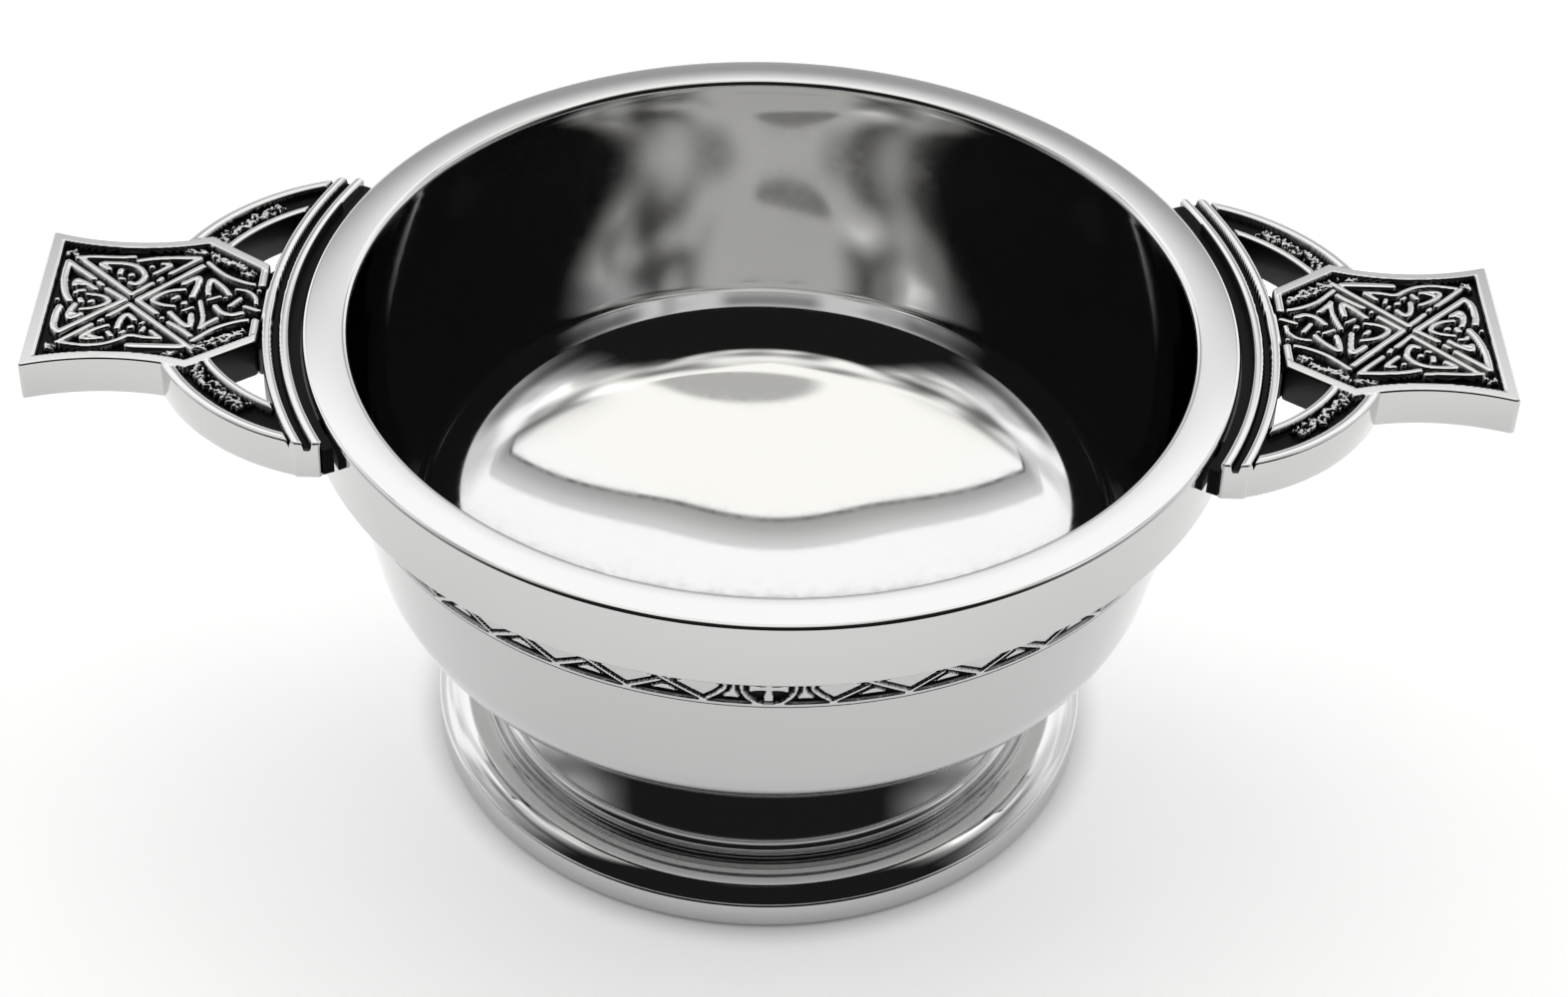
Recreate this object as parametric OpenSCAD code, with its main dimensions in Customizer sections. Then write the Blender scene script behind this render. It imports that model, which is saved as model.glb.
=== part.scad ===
// Quaich: a footed drinking cup with two flat lugs, in polished pewter.
// The lugs lie along X, the front looks towards -Y and Z is up, in millimetres.
// The origin is the middle of the foot's underside.

/* [Bowl] */
// Outer radius of the rim collar
rim_r = 45; // [40:0.5:60]
// Height of the rim above the table
rim_h = 50; // [46:0.5:62]
// Wall of the bowl, measured level
bowl_wall = 2.1; // [1.6:0.1:3]
// Thickness of the floor at its middle
bowl_floor = 1.6; // [1.2:0.1:3]
// Lean of the wall from upright, in degrees
wall_lean = 11.8; // [6:0.2:16]
// Outside radius where the wall turns under
turn_r = 12; // [9:0.5:15]
// Inside radius where the wall meets the floor
inner_turn_r = 10; // [6:0.5:11]
// Radius of the dished floor inside
dish_r = 90; // [75:5:200]
// Radius of the small flat at the middle of the floor, inside and out
dish_flat = 3; // [1:0.5:8]

/* [Rim collar] */
// Height of the collar's outer face
collar_h = 7; // [5:0.1:10]
// Overhang of the collar past the bowl wall
collar_step = 2.2; // [1.6:0.1:4]
// Thickness of the collar's flat top
collar_cap = 1.4; // [1:0.1:2]
// Rounding of the rim's outer edge
rim_round = 0.5; // [0.2:0.1:1.2]
// Rounding of the rim's inner edge
lip_inner_round = 0.6; // [0.2:0.1:0.9]
// Rounding of the collar's lower edge
skirt_round = 0.3; // [0.1:0.1:0.8]

/* [Knot band] */
// Height of the band below the collar
band_h = 5.6; // [4:0.1:8]
// Thickness of the band
band_t = 0.9; // [0.7:0.1:1.3]
// Depth of the cut ornament
band_cut = 0.4; // [0.2:0.05:0.6]
// Lattice cells on each side, between the two medallions
band_cells = 17; // [12:1:22]
// Half angle that each medallion takes up, in degrees
medallion_angle = 8; // [6:0.5:12]
// Radius of the medallion's ring
medallion_r = 2.2; // [1.4:0.1:2.6]
// Width of the raised lines on the band
band_line = 0.5; // [0.3:0.05:0.8]
// Plain border above and below the lattice
band_border = 0.45; // [0.3:0.05:0.8]
// Width of the sunk line around each raised field
band_groove = 0.5; // [0.3:0.05:0.7]

/* [Foot] */
// Outer radius of the foot
foot_r = 33.5; // [28:0.5:40]
// Height of the foot, up to the solder
foot_h = 14; // [12:0.2:20]
// Radius of the foot's neck under the bowl
neck_r = 20; // [18:0.1:23]
// Wall of the foot
foot_wall = 2; // [1.4:0.1:3]
// Width of the flat ring that the foot stands on
stand_w = 4; // [3:0.1:6]
// Height of the lip
lip_h = 3.1; // [1.8:0.1:4]
// Rounding of the lip's upper edge
lip_round = 0.3; // [0.2:0.1:1.2]
// Rounding of the lip's lower edge
lip_base_round = 0.8; // [0.2:0.1:1.2]
// Width of the rounded dome above the lip
dome_w = 5.3; // [3:0.1:6]
// Rise from the lip to the dome's inner end
dome_rise = 0.8; // [0.6:0.1:2]
// Radius of the dome's curve
dome_r = 3.4; // [3.2:0.1:12]
// Radius of the bead at the foot of the cove
bead_r = 0.9; // [0.6:0.1:1.3]
// Radius of the cove
cove_r = 32; // [12:1:60]

/* [Lugs] */
// Thickness of a lug
lug_t = 4.1; // [3:0.1:6]
// Reach of a lug from the rim's outer face
lug_reach = 25.6; // [23:0.2:32]
// Width of a lug at its end
lug_end_w = 21.6; // [18:0.2:26]
// Distance of the shoulders from the rim's outer face
shoulder_at = 10; // [8:0.2:11]
// Width across the shoulders
shoulder_w = 21; // [19:0.2:24]
// Hollow of the arm's curved sides
side_hollow = 1.3; // [0.6:0.1:2]
// Distance of the neck's corners from the rim's outer face
lug_neck_at = 3.9; // [3.8:0.1:4.6]
// Width across the neck's corners
lug_neck_w = 12.4; // [11:0.2:13.4]
// Half angle of the spine that follows the rim, in degrees
spine_angle = 27.5; // [25:0.5:30]
// Outer radius of the ring round the cross
halo_r = 22; // [21:0.2:24]
// Width of the ring
halo_w = 4.5; // [3.6:0.1:6]
// Distance of the ring's centre inside the rim's outer face
halo_set = 7.3; // [6:0.1:9]

/* [Lug ornament] */
// Depth of the sunk ornament
relief = 0.9; // [0.4:0.1:1.4]
// Border along the arm's sides
border_w = 1.15; // [0.8:0.05:1.4]
// Border along the arm's end
end_border_w = 1.7; // [1:0.1:2]
// Raised edge on the outside of the ring
halo_edge_w = 1.15; // [0.8:0.05:1.5]
// Raised edge on the inside of the ring
halo_inner_w = 0.9; // [0.6:0.05:1.2]
// Width of each ridge of the spine
ridge_w = 0.85; // [0.6:0.05:1]
// Width of the groove between the ridges
groove_w = 0.75; // [0.5:0.05:1]
// Width of the sunk root beside the collar
root_w = 1; // [0.7:0.05:1.2]
// Depth of the sunk root below the rim
root_drop = 1.4; // [0.9:0.1:2]
// Width of the knotwork's strands
strand_w = 0.7; // [0.5:0.05:0.8]
// Distance of the saltire's centre from the rim's outer face
saltire_at = 16.6; // [16:0.1:17.2]
// Half the side of the saltire's square
saltire_half = 6.7; // [6:0.1:7]
// Gap between the two strands of each diagonal
saltire_gap = 0.5; // [0.3:0.05:0.8]
// Half the opening of the neck between its two claws
claw_half = 2.7; // [2:0.1:3.2]
// Radius of the curved claws
claw_r = 7.4; // [6:0.2:10]
// Width of the pointed loops
leaf_w = 1.5; // [1.5:0.1:1.8]

/* [Solder] */
// Thickness of the solder in every seam
solder_t = 0.2; // [0.1:0.05:0.3]
// How far the solder stays back from a seam's edge
solder_back = 0.6; // [0.3:0.1:1]
// Half angle of the soldered root of a lug, in degrees
root_angle = 21; // [15:0.5:23]

/* [Hidden] */
$fn = 96;
// Steps of the very flat arc of the floor
fine = 720;
// How far a cut runs past a face, and a joined piece into its neighbour
past = 1;
overlap = 0.1;
// How far a round turn reaches past the faces that it blends, so that they cross in one clean edge
nip = 0.002;
// Where the dome meets the lip's rounding, as a share of it, so that the two cross in one clean edge
crease_share = 0.8;
// How far past its top the bead runs on before the cove begins, in degrees
bead_lead = 10;
metal = [0.78, 0.78, 0.79];
seam_metal = [0.66, 0.66, 0.68];

// Heights
rim_top = rim_h;
collar_z = rim_top - collar_h;
cap_z = rim_top - collar_cap;

// Radii of the bowl at the collar
wall_out = rim_r - collar_step;
wall_in = wall_out - bowl_wall;
lean = tan(wall_lean);

// Lug stations, out from the bowl's axis
spine_in = rim_r + solder_t;
root_out = spine_in + root_w;
ridge_1_out = root_out + ridge_w;
groove_out = ridge_1_out + groove_w;
spine_out = groove_out + ridge_w;
halo_x = rim_r - halo_set;
lug_z = rim_top - lug_t;
neck_corner = [rim_r + lug_neck_at, lug_neck_w / 2];
shoulder = [rim_r + shoulder_at, shoulder_w / 2];
end_corner = [rim_r + lug_reach, lug_end_w / 2];
claw_start = [neck_corner[0] + strand_w / 2, claw_half];
claw_end = [shoulder[0] - strand_w / 2, saltire_half - strand_w / 2];

// Level radius of the wall's outer face at a height below the collar
function wall_r_at(z) = wall_out - (collar_z - z) * lean;

// Centre of a circle of radius r through p and q, on the left of the way from p to q
function arc_centre(p, q, r) =
  let (d = q - p, half = norm(d) / 2)
  (p + q) / 2 + [-d[1], d[0]] / norm(d) * sqrt(r * r - half * half);

// Radius of an arc over a chord with a given rise
function arc_radius(chord, rise) = chord * chord / (8 * rise) + rise / 2;

// Four corners of a straight strip of width w from p to q
function strip(p, q, w) =
  let (d = (q - p) / norm(q - p), n = [-d[1], d[0]] * w / 2)
  [p + n, q + n, q - n, p - n];

// Takes off a square corner and leaves an arc; inward gives the signs towards the inside
module round_off(corner, inward, r) {
  translate(corner + inward * r)
    difference() {
      translate([inward[0] > 0 ? -r - past : 0, inward[1] > 0 ? -r - past : 0]) square(r + past);
      circle(r);
    }
}

module disc(centre, r) {
  translate(centre) circle(r);
}

// Wedge about the X axis, half angle a
module wedge(a) {
  reach = 2 * (rim_r + lug_reach);
  polygon([[0, 0], [reach * cos(a), -reach * sin(a)], [reach * cos(a), reach * sin(a)]]);
}

// Takes off what lies outside an arc between two directions from its centre
module turn_off(centre, r, dir_a, dir_b) {
  translate(centre)
    difference() {
      polygon([[0, 0], dir_a * 2 * r, (dir_a + dir_b) * 2 * r, dir_b * 2 * r]);
      circle(r);
    }
}

// Bowl, in section: one shell whose dished floor and rounded underside share a centre on the axis,
// set so that the underside and its solder rest on the neck of the foot
under_r = dish_r + bowl_floor;
dish_z = foot_h + sqrt(pow(under_r + solder_t, 2) - neck_r * neck_r);
out_of_wall = [cos(wall_lean), -sin(wall_lean)];

// Centre of the turn that is tangent to a leaning wall and to a dish
function turn_centre(wall_r, turn, dish) =
  let (t = turn - nip,
       a = wall_r - collar_z * lean - t / cos(wall_lean),
       k_2 = lean * lean + 1,
       k_1 = a * lean - dish_z,
       k_0 = a * a + dish_z * dish_z - pow(dish - t, 2),
       z = (-k_1 - sqrt(k_1 * k_1 - k_2 * k_0)) / k_2)
  [a + lean * z, z];

// Leaning wall, round turn and dish, filled up to top_z
module round_form_2d(wall_r, turn, dish, top_z) {
  low_z = dish_z - sqrt(dish * dish - dish_flat * dish_flat);
  centre = turn_centre(wall_r, turn, dish);
  difference() {
    intersection() {
      polygon([[0, low_z], [wall_r - (collar_z - low_z) * lean, low_z], [wall_r, collar_z],
               [wall_r, top_z], [0, top_z]]);
      translate([0, dish_z]) circle(dish, $fn = fine);
    }
    turn_off(centre, turn, (centre - [0, dish_z]) / norm(centre - [0, dish_z]), out_of_wall);
  }
}

// Strip of the wall that the knot band fills; out carries it past the wall's face
module band_2d(out) {
  low_z = collar_z - band_h;
  polygon([[wall_out + out, collar_z], [wall_out - band_t, collar_z],
           [wall_r_at(low_z) - band_t, low_z], [wall_r_at(low_z) + out, low_z]]);
}

module bowl() {
  color(metal)
    rotate_extrude()
      difference() {
        round_form_2d(wall_out, turn_r, under_r, cap_z);
        round_form_2d(wall_in, inner_turn_r, dish_r, rim_top + past);
        band_2d(past);
      }
}

module rim_collar() {
  color(metal)
    rotate_extrude()
      difference() {
        union() {
          translate([wall_in, cap_z]) square([rim_r - wall_in, collar_cap]);
          translate([wall_out + solder_t, collar_z]) square([collar_step - solder_t, collar_h]);
        }
        round_off([rim_r, rim_top], [-1, -1], rim_round);
        round_off([wall_in, rim_top], [1, -1], lip_inner_round);
        round_off([rim_r, collar_z], [-1, 1], skirt_round);
      }
}

module collar_solder() {
  color(seam_metal)
    rotate_extrude()
      translate([wall_out, collar_z + solder_back])
        square([solder_t, cap_z - collar_z - solder_back]);
}

// Knot band: ornament drawn flat (x along the band, y up from its lower edge) and cut radially
band_mid_r = wall_r_at(collar_z - band_h / 2);
cell_angle = (180 - 2 * medallion_angle) / band_cells;
cell_w = 2 * band_mid_r * tan(cell_angle / 2);
lattice_low = band_border;
lattice_high = band_h - band_border;
lattice_mid = band_h / 2;

// Sunk frame between a triangle's edge and the raised field inside it, given its side and its height
module sunk_triangle(side, high) {
  slope = atan2(high, side / 2);
  inset = band_line / 2;
  field = inset + band_groove;
  difference() {
    polygon([[-side / 2 + inset / tan(slope / 2), inset], [side / 2 - inset / tan(slope / 2), inset],
             [0, high - inset / cos(slope)]]);
    polygon([[-side / 2 + field / tan(slope / 2), field], [side / 2 - field / tan(slope / 2), field],
             [0, high - field / cos(slope)]]);
  }
}

// Sunk frame of the lozenge between two crossings
module sunk_lozenge() {
  high = lattice_high - lattice_low;
  slope = atan2(high, cell_w);
  inset = band_line / 2;
  field = inset + band_groove;
  difference() {
    lozenge(cell_w / 2 - inset / sin(slope), high / 2 - inset / cos(slope));
    lozenge(cell_w / 2 - field / sin(slope), high / 2 - field / cos(slope));
  }
}

module lozenge(half_w, half_h) {
  translate([0, lattice_mid]) polygon([[-half_w, 0], [0, -half_h], [half_w, 0], [0, half_h]]);
}

// Sunk ground of a medallion, round a raised cross
module sunk_medallion() {
  arm = medallion_r - band_line;
  translate([0, lattice_mid])
    difference() {
      circle(medallion_r - band_line / 2);
      square([arm, band_line], center = true);
      square([band_line, arm], center = true);
    }
}

// Places a flat drawing on the band at an angle from the right, as a radial cutter
module on_band(angle) {
  rotate([0, 0, angle])
    translate([band_mid_r - band_h, 0, collar_z - band_h])
      rotate([90, 0, 90])
        linear_extrude(2 * band_h) children();
}

module band_cutters() {
  for (front = [-90, 90]) {
    on_band(front) sunk_medallion();
    for (i = [0 : band_cells - 1])
      on_band(front + medallion_angle + (i + 0.5) * cell_angle) {
        translate([0, lattice_low]) sunk_triangle(cell_w, lattice_mid - lattice_low);
        translate([0, lattice_high]) mirror([0, 1]) sunk_triangle(cell_w, lattice_high - lattice_mid);
      }
    for (i = [1 : band_cells - 1])
      on_band(front + medallion_angle + i * cell_angle) sunk_lozenge();
  }
}

// The wall's own cone, drawn in by the depth of the cut
module band_core() {
  rotate_extrude()
    polygon([[0, collar_z + past], [wall_r_at(collar_z + past) - band_cut, collar_z + past],
             [wall_r_at(collar_z - band_h - past) - band_cut, collar_z - band_h - past],
             [0, collar_z - band_h - past]]);
}

module knot_band() {
  color(metal)
    difference() {
      rotate_extrude() band_2d(0);
      difference() {
        band_cutters();
        band_core();
      }
    }
}

// Foot, in section
crease = [foot_r - lip_round * crease_share, lip_h];
dome_end = crease + [-dome_w, dome_rise];
bead_at = dome_end + [-bead_r, bead_r];
cove_start = bead_at + bead_r * [-sin(bead_lead), cos(bead_lead)];
cove_end = [neck_r, foot_h];
cove_at = arc_centre(cove_end, cove_start, cove_r);
hollow_r = cove_r + foot_wall;
neck_in = hollow_x(foot_h);

// Level radius of the hollow behind the cove at a height
function hollow_x(z) = cove_at[0] - sqrt(hollow_r * hollow_r - pow(z - cove_at[1], 2));

module foot_outer_2d() {
  difference() {
    square([foot_r, lip_h]);
    round_off([foot_r, lip_h], [-1, -1], lip_round);
    round_off([foot_r, 0], [-1, 1], lip_base_round);
  }
  intersection() {
    disc(arc_centre(crease, dome_end, dome_r), dome_r);
    translate([bead_at[0], lip_h / 2]) square([foot_r - bead_at[0], foot_h]);
  }
  disc(bead_at, bead_r);
  // Floor of the groove between the dome and the bead
  square(dome_end + [bead_r, bead_r / 3]);
  difference() {
    square([bead_at[0], foot_h + past]);
    disc(cove_at, cove_r);
  }
}

// The hollow follows the cove down to the height of the dome, then runs straight out to the standing ring
module foot_hollow_2d() {
  base_in = foot_r - stand_w;
  run_z = dome_end[1];
  slope = (base_in - hollow_x(run_z)) / run_z;
  run_in = base_in - slope * (run_z + past);
  difference() {
    polygon([[0, -past], [base_in + slope * past, -past], [run_in, run_z + past],
             [run_in, foot_h + past], [0, foot_h + past]]);
    disc(cove_at, hollow_r);
  }
}

// What lies above the bowl's rounded underside
module under_bowl_2d(r) {
  translate([0, dish_z]) circle(r, $fn = fine);
}

module foot() {
  color(metal)
    rotate_extrude()
      difference() {
        foot_outer_2d();
        foot_hollow_2d();
        under_bowl_2d(under_r + solder_t);
      }
}

module foot_solder() {
  color(seam_metal)
    rotate_extrude()
      difference() {
        intersection() {
          under_bowl_2d(under_r + solder_t);
          translate([neck_in, 0]) square([neck_r - neck_in, foot_h + solder_t + past]);
        }
        under_bowl_2d(under_r);
      }
}

// Lug outline: spine along the rim, ring and cross arm
module ring_2d(r_out, r_in) {
  difference() {
    circle(r_out);
    circle(r_in);
  }
}

module spine_2d() {
  intersection() {
    ring_2d(spine_out, root_out);
    wedge(spine_angle);
  }
}

module halo_2d(r_out, r_in) {
  difference() {
    translate([halo_x, 0]) ring_2d(r_out, r_in);
    circle(groove_out);
  }
}

// Cross arm drawn in by an inset along its slanted edges and sides, and by end_inset at its end
module arm_2d(inset, end_inset) {
  slant = (shoulder[1] - neck_corner[1]) / (shoulder[0] - neck_corner[0]);
  drop = inset * sqrt(1 + slant * slant);
  side_r = arc_radius(norm(end_corner - shoulder), side_hollow);
  side_at = arc_centre(shoulder, end_corner, side_r);
  neck_y = neck_corner[1] - drop;
  end_x = end_corner[0] - end_inset;
  wide_x = shoulder[0] + drop / slant;
  difference() {
    polygon([
      [groove_out, -neck_y], [neck_corner[0], -neck_y], [wide_x, -shoulder[1]], [end_x, -end_corner[1]],
      [end_x, end_corner[1]], [wide_x, shoulder[1]], [neck_corner[0], neck_y], [groove_out, neck_y]
    ]);
    disc(side_at, side_r + inset);
    mirror([0, 1]) disc(side_at, side_r + inset);
  }
}

module lug_blank_2d() {
  spine_2d();
  halo_2d(halo_r, halo_r - halo_w);
  arm_2d(0, 0);
}

// Pointed loop from tail to tip
module leaf(tip, tail, wide) {
  r = arc_radius(norm(tip - tail), wide / 2);
  difference() {
    leaf_fill(tip, tail, r, r);
    leaf_fill(tip, tail, r, r - strand_w);
  }
}

module leaf_fill(tip, tail, r, cut_r) {
  intersection() {
    disc(arc_centre(tip, tail, r), cut_r);
    disc(arc_centre(tail, tip, r), cut_r);
  }
}

// One quarter of the saltire, opening along +X from the saltire's centre
module quarter_knot() {
  off = (saltire_gap + strand_w) / 2;
  inner = saltire_half - 1.5 * strand_w;
  for (side = [-1, 1]) {
    diagonal = [1, side] / sqrt(2);
    inward = [1, -side] / sqrt(2);
    polygon(strip((inward + diagonal) * off,
                  inward * off + diagonal * (saltire_half - off) * sqrt(2), strand_w));
    polygon(strip([saltire_half - strand_w / 2, side * strand_w],
                  [saltire_half - strand_w / 2, side * (saltire_half - 2 * off)], strand_w));
    leaf([inner, side * (inner - 2 * off)], [inner - leaf_w, side * strand_w], leaf_w);
  }
  leaf([2 * off + strand_w, 0], [inner - strand_w, 0], leaf_w);
}

// One side of the neck: curved claw, its short end and a pointed loop
module neck_knot() {
  claw_at = arc_centre(claw_start, claw_end, claw_r);
  intersection() {
    translate(claw_at) ring_2d(claw_r + strand_w / 2, claw_r - strand_w / 2);
    polygon([claw_at, 2 * claw_start - claw_at, 2 * claw_end - claw_at]);
  }
  polygon(strip(claw_start, [claw_start[0], lug_neck_w / 2], strand_w));
  leaf([claw_end[0] - leaf_w, claw_half], [claw_start[0] + leaf_w, -strand_w], leaf_w);
}

// Raised knotwork inside the arm
module knots_2d() {
  translate([rim_r + saltire_at, 0])
    for (turn = [0 : 90 : 270]) rotate(turn) quarter_knot();
  neck_knot();
  mirror([0, 1]) neck_knot();
}

// Everything on the lug that lies below its top face
module lug_sunk_2d() {
  intersection() {
    ring_2d(groove_out, ridge_1_out);
    wedge(spine_angle - 1);
  }
  difference() {
    halo_2d(halo_r - halo_edge_w, halo_r - halo_w + halo_inner_w);
    circle(spine_out);
    arm_2d(0, 0);
  }
  difference() {
    arm_2d(border_w, end_border_w);
    circle(spine_out);
    knots_2d();
  }
}

// Root that meets the solder: lower than the ridges and short of the spine's tips
module lug_root() {
  translate([0, 0, lug_z + solder_back])
    linear_extrude(lug_t - root_drop - solder_back)
      intersection() {
        ring_2d(root_out + overlap, spine_in);
        wedge(root_angle);
      }
}

module lug() {
  color(metal) {
    difference() {
      translate([0, 0, lug_z]) linear_extrude(lug_t) lug_blank_2d();
      translate([0, 0, rim_top - relief]) linear_extrude(relief + past) lug_sunk_2d();
    }
    lug_root();
  }
}

module lug_solder() {
  color(seam_metal)
    translate([0, 0, lug_z + solder_back])
      linear_extrude(lug_t - root_drop - solder_back)
        intersection() {
          ring_2d(spine_in, rim_r);
          wedge(root_angle);
        }
}

module right_lug() { lug(); }
module left_lug() { rotate([0, 0, 180]) lug(); }
module right_lug_solder() { lug_solder(); }
module left_lug_solder() { rotate([0, 0, 180]) lug_solder(); }

bowl();
rim_collar();
knot_band();
foot();
left_lug();
right_lug();
collar_solder();
foot_solder();
left_lug_solder();
right_lug_solder();
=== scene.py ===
"""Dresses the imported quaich: a polished pewter cup with blackened knotwork, standing on a white table."""

import math
import random

import bmesh
import bpy
import numpy as np
from bpy.props import FloatProperty, FloatVectorProperty, IntProperty, PointerProperty
from mathutils import Matrix, Quaternion, Vector


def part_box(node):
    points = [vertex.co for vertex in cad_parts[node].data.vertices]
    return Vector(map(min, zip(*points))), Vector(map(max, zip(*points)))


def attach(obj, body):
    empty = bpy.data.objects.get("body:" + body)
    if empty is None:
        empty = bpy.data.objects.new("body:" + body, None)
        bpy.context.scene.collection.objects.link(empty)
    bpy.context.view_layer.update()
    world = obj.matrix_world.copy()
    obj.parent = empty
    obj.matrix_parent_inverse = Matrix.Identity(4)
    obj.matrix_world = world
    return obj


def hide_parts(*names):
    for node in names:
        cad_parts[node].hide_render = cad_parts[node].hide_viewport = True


bl_info = {
    "name": "Pewter quaich",
    "version": (1, 0, 0),
    "blender": (4, 5, 0),
    "location": "View3D > Sidebar > Quaich",
    "description": "Builds a polished pewter quaich with knotwork lugs round its packed solids",
    "category": "Mesh",
}

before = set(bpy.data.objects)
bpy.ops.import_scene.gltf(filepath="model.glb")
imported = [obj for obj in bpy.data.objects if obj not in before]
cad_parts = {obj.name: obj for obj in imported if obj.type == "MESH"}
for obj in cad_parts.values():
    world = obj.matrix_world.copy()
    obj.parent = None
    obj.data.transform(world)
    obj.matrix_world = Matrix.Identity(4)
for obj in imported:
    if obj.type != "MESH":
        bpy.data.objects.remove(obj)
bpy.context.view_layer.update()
MM = 0.001
FAR = 1e9

# Radius in metres of the circle that sections are swept round
LATHE_RADIUS = 1.0

# Distances in metres within which points are welded
TURNED_WELD = 5e-6
BAND_WELD = 2e-6
POINT_WELD = 1e-7

# Angles in degrees above which an edge stays sharp
TURNED_SHARP = 28.0
BAND_SHARP = 60.0
LUG_SHARP = 80.0


def box_mm(node):
    """Lowest and highest corner of a CAD node, in millimetres."""
    low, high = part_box(node)
    return [v / MM for v in low], [v / MM for v in high]


COLLAR_LOW, COLLAR_HIGH = box_mm("rim_collar")
BOWL_LOW = box_mm("bowl")[0]
BAND_LOW, BAND_HIGH = box_mm("knot_band")
FOOT_HIGH = box_mm("foot")[1]
LUG_LOW, LUG_HIGH = box_mm("right_lug")


def length(name, millimetres, text):
    """A length property whose default is given in millimetres."""
    return FloatProperty(name=name, description=text, default=millimetres * MM,
                         subtype="DISTANCE", unit="LENGTH", precision=5)


def angle(name, degrees, text):
    """An angle property whose default is given in degrees."""
    return FloatProperty(name=name, description=text, default=math.radians(degrees), subtype="ANGLE")


def colour(name, value, text):
    """A colour property."""
    return FloatVectorProperty(name=name, description=text, default=value, size=3, subtype="COLOR",
                               min=0.0, max=1.0)


class QuaichBowlSizes(bpy.types.PropertyGroup):
    """Sizes of the bowl, its collar and its band."""
    rim_radius: length("Rim radius", COLLAR_HIGH[0], "Outer radius of the collar")
    rim_height: length("Rim height", COLLAR_HIGH[2], "Height of the rim above the table")
    collar_height: length("Collar height", COLLAR_HIGH[2] - COLLAR_LOW[2],
                          "Height of the collar's outer face")
    collar_step: length("Collar step", 2.2, "Overhang of the collar past the wall")
    collar_cap: length("Collar cap", 1.4, "Thickness of the collar's flat top")
    rim_round: length("Rim rounding", 0.5, "Rounding of the rim's outer edge")
    lip_round: length("Lip rounding", 0.6, "Rounding of the rim's inner edge")
    skirt_round: length("Skirt rounding", 0.3, "Rounding of the collar's lower edge")
    wall: length("Wall", 2.1, "Wall of the bowl, measured level")
    lean: angle("Lean", 11.8, "Lean of the wall from upright")
    floor_depth: length("Underside", BOWL_LOW[2], "Height of the bowl's underside at its middle")
    floor_thickness: length("Floor", 1.6, "Thickness of the dished floor")
    dish_radius: length("Dish radius", 90.0, "Radius of the dished floor")
    turn_outside: length("Outer turn", 12.0, "Outside radius where the wall turns under")
    turn_inside: length("Inner turn", 10.0, "Inside radius where the wall meets the floor")
    solder_gap: length("Seam", 0.2, "Thickness of the solder in each seam")
    band_height: length("Band height", BAND_HIGH[2] - BAND_LOW[2], "Height of the knot band")
    band_thickness: length("Band thickness", 0.9, "Thickness of the knot band")
    band_cut: length("Band cut", 0.5, "Depth of the cut ornament")
    band_line: length("Band line", 0.42, "Width of the band's raised lines")
    band_groove: length("Band groove", 0.3, "Width of the sunk line round each field")
    band_border: length("Band border", 0.58, "Plain border under and over the lattice")
    band_cells: IntProperty(name="Band cells", description="Lattice cells on each side", default=17, min=4)
    medallion_angle: angle("Medallion half angle", 8.0, "Half angle that each medallion takes up")
    medallion_radius: length("Medallion radius", 2.45, "Radius of the medallion's ring")
    segments: IntProperty(name="Segments", description="Steps round a turned piece", default=320, min=24)


class QuaichFootSizes(bpy.types.PropertyGroup):
    """Sizes of the turned foot."""
    radius: length("Radius", FOOT_HIGH[0], "Outer radius of the foot")
    height: length("Height", FOOT_HIGH[2], "Height of the foot")
    neck: length("Neck radius", 20.0, "Radius of the neck under the bowl")
    wall: length("Wall", 2.0, "Wall of the foot")
    stand: length("Standing ring", 4.0, "Width of the flat ring that the foot stands on")
    lip_height: length("Lip height", 3.1, "Height of the lip")
    lip_round: length("Lip rounding", 0.3, "Rounding of the lip's upper edge")
    base_round: length("Base rounding", 0.8, "Rounding of the lip's lower edge")
    dome_width: length("Dome width", 5.3, "Width of the dome above the lip")
    dome_rise: length("Dome rise", 0.8, "Rise of the dome")
    dome_radius: length("Dome radius", 3.4, "Radius of the dome's curve")
    bead_radius: length("Bead radius", 0.9, "Radius of the bead at the foot of the cove")
    cove_radius: length("Cove radius", 32.0, "Radius of the cove")


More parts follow.
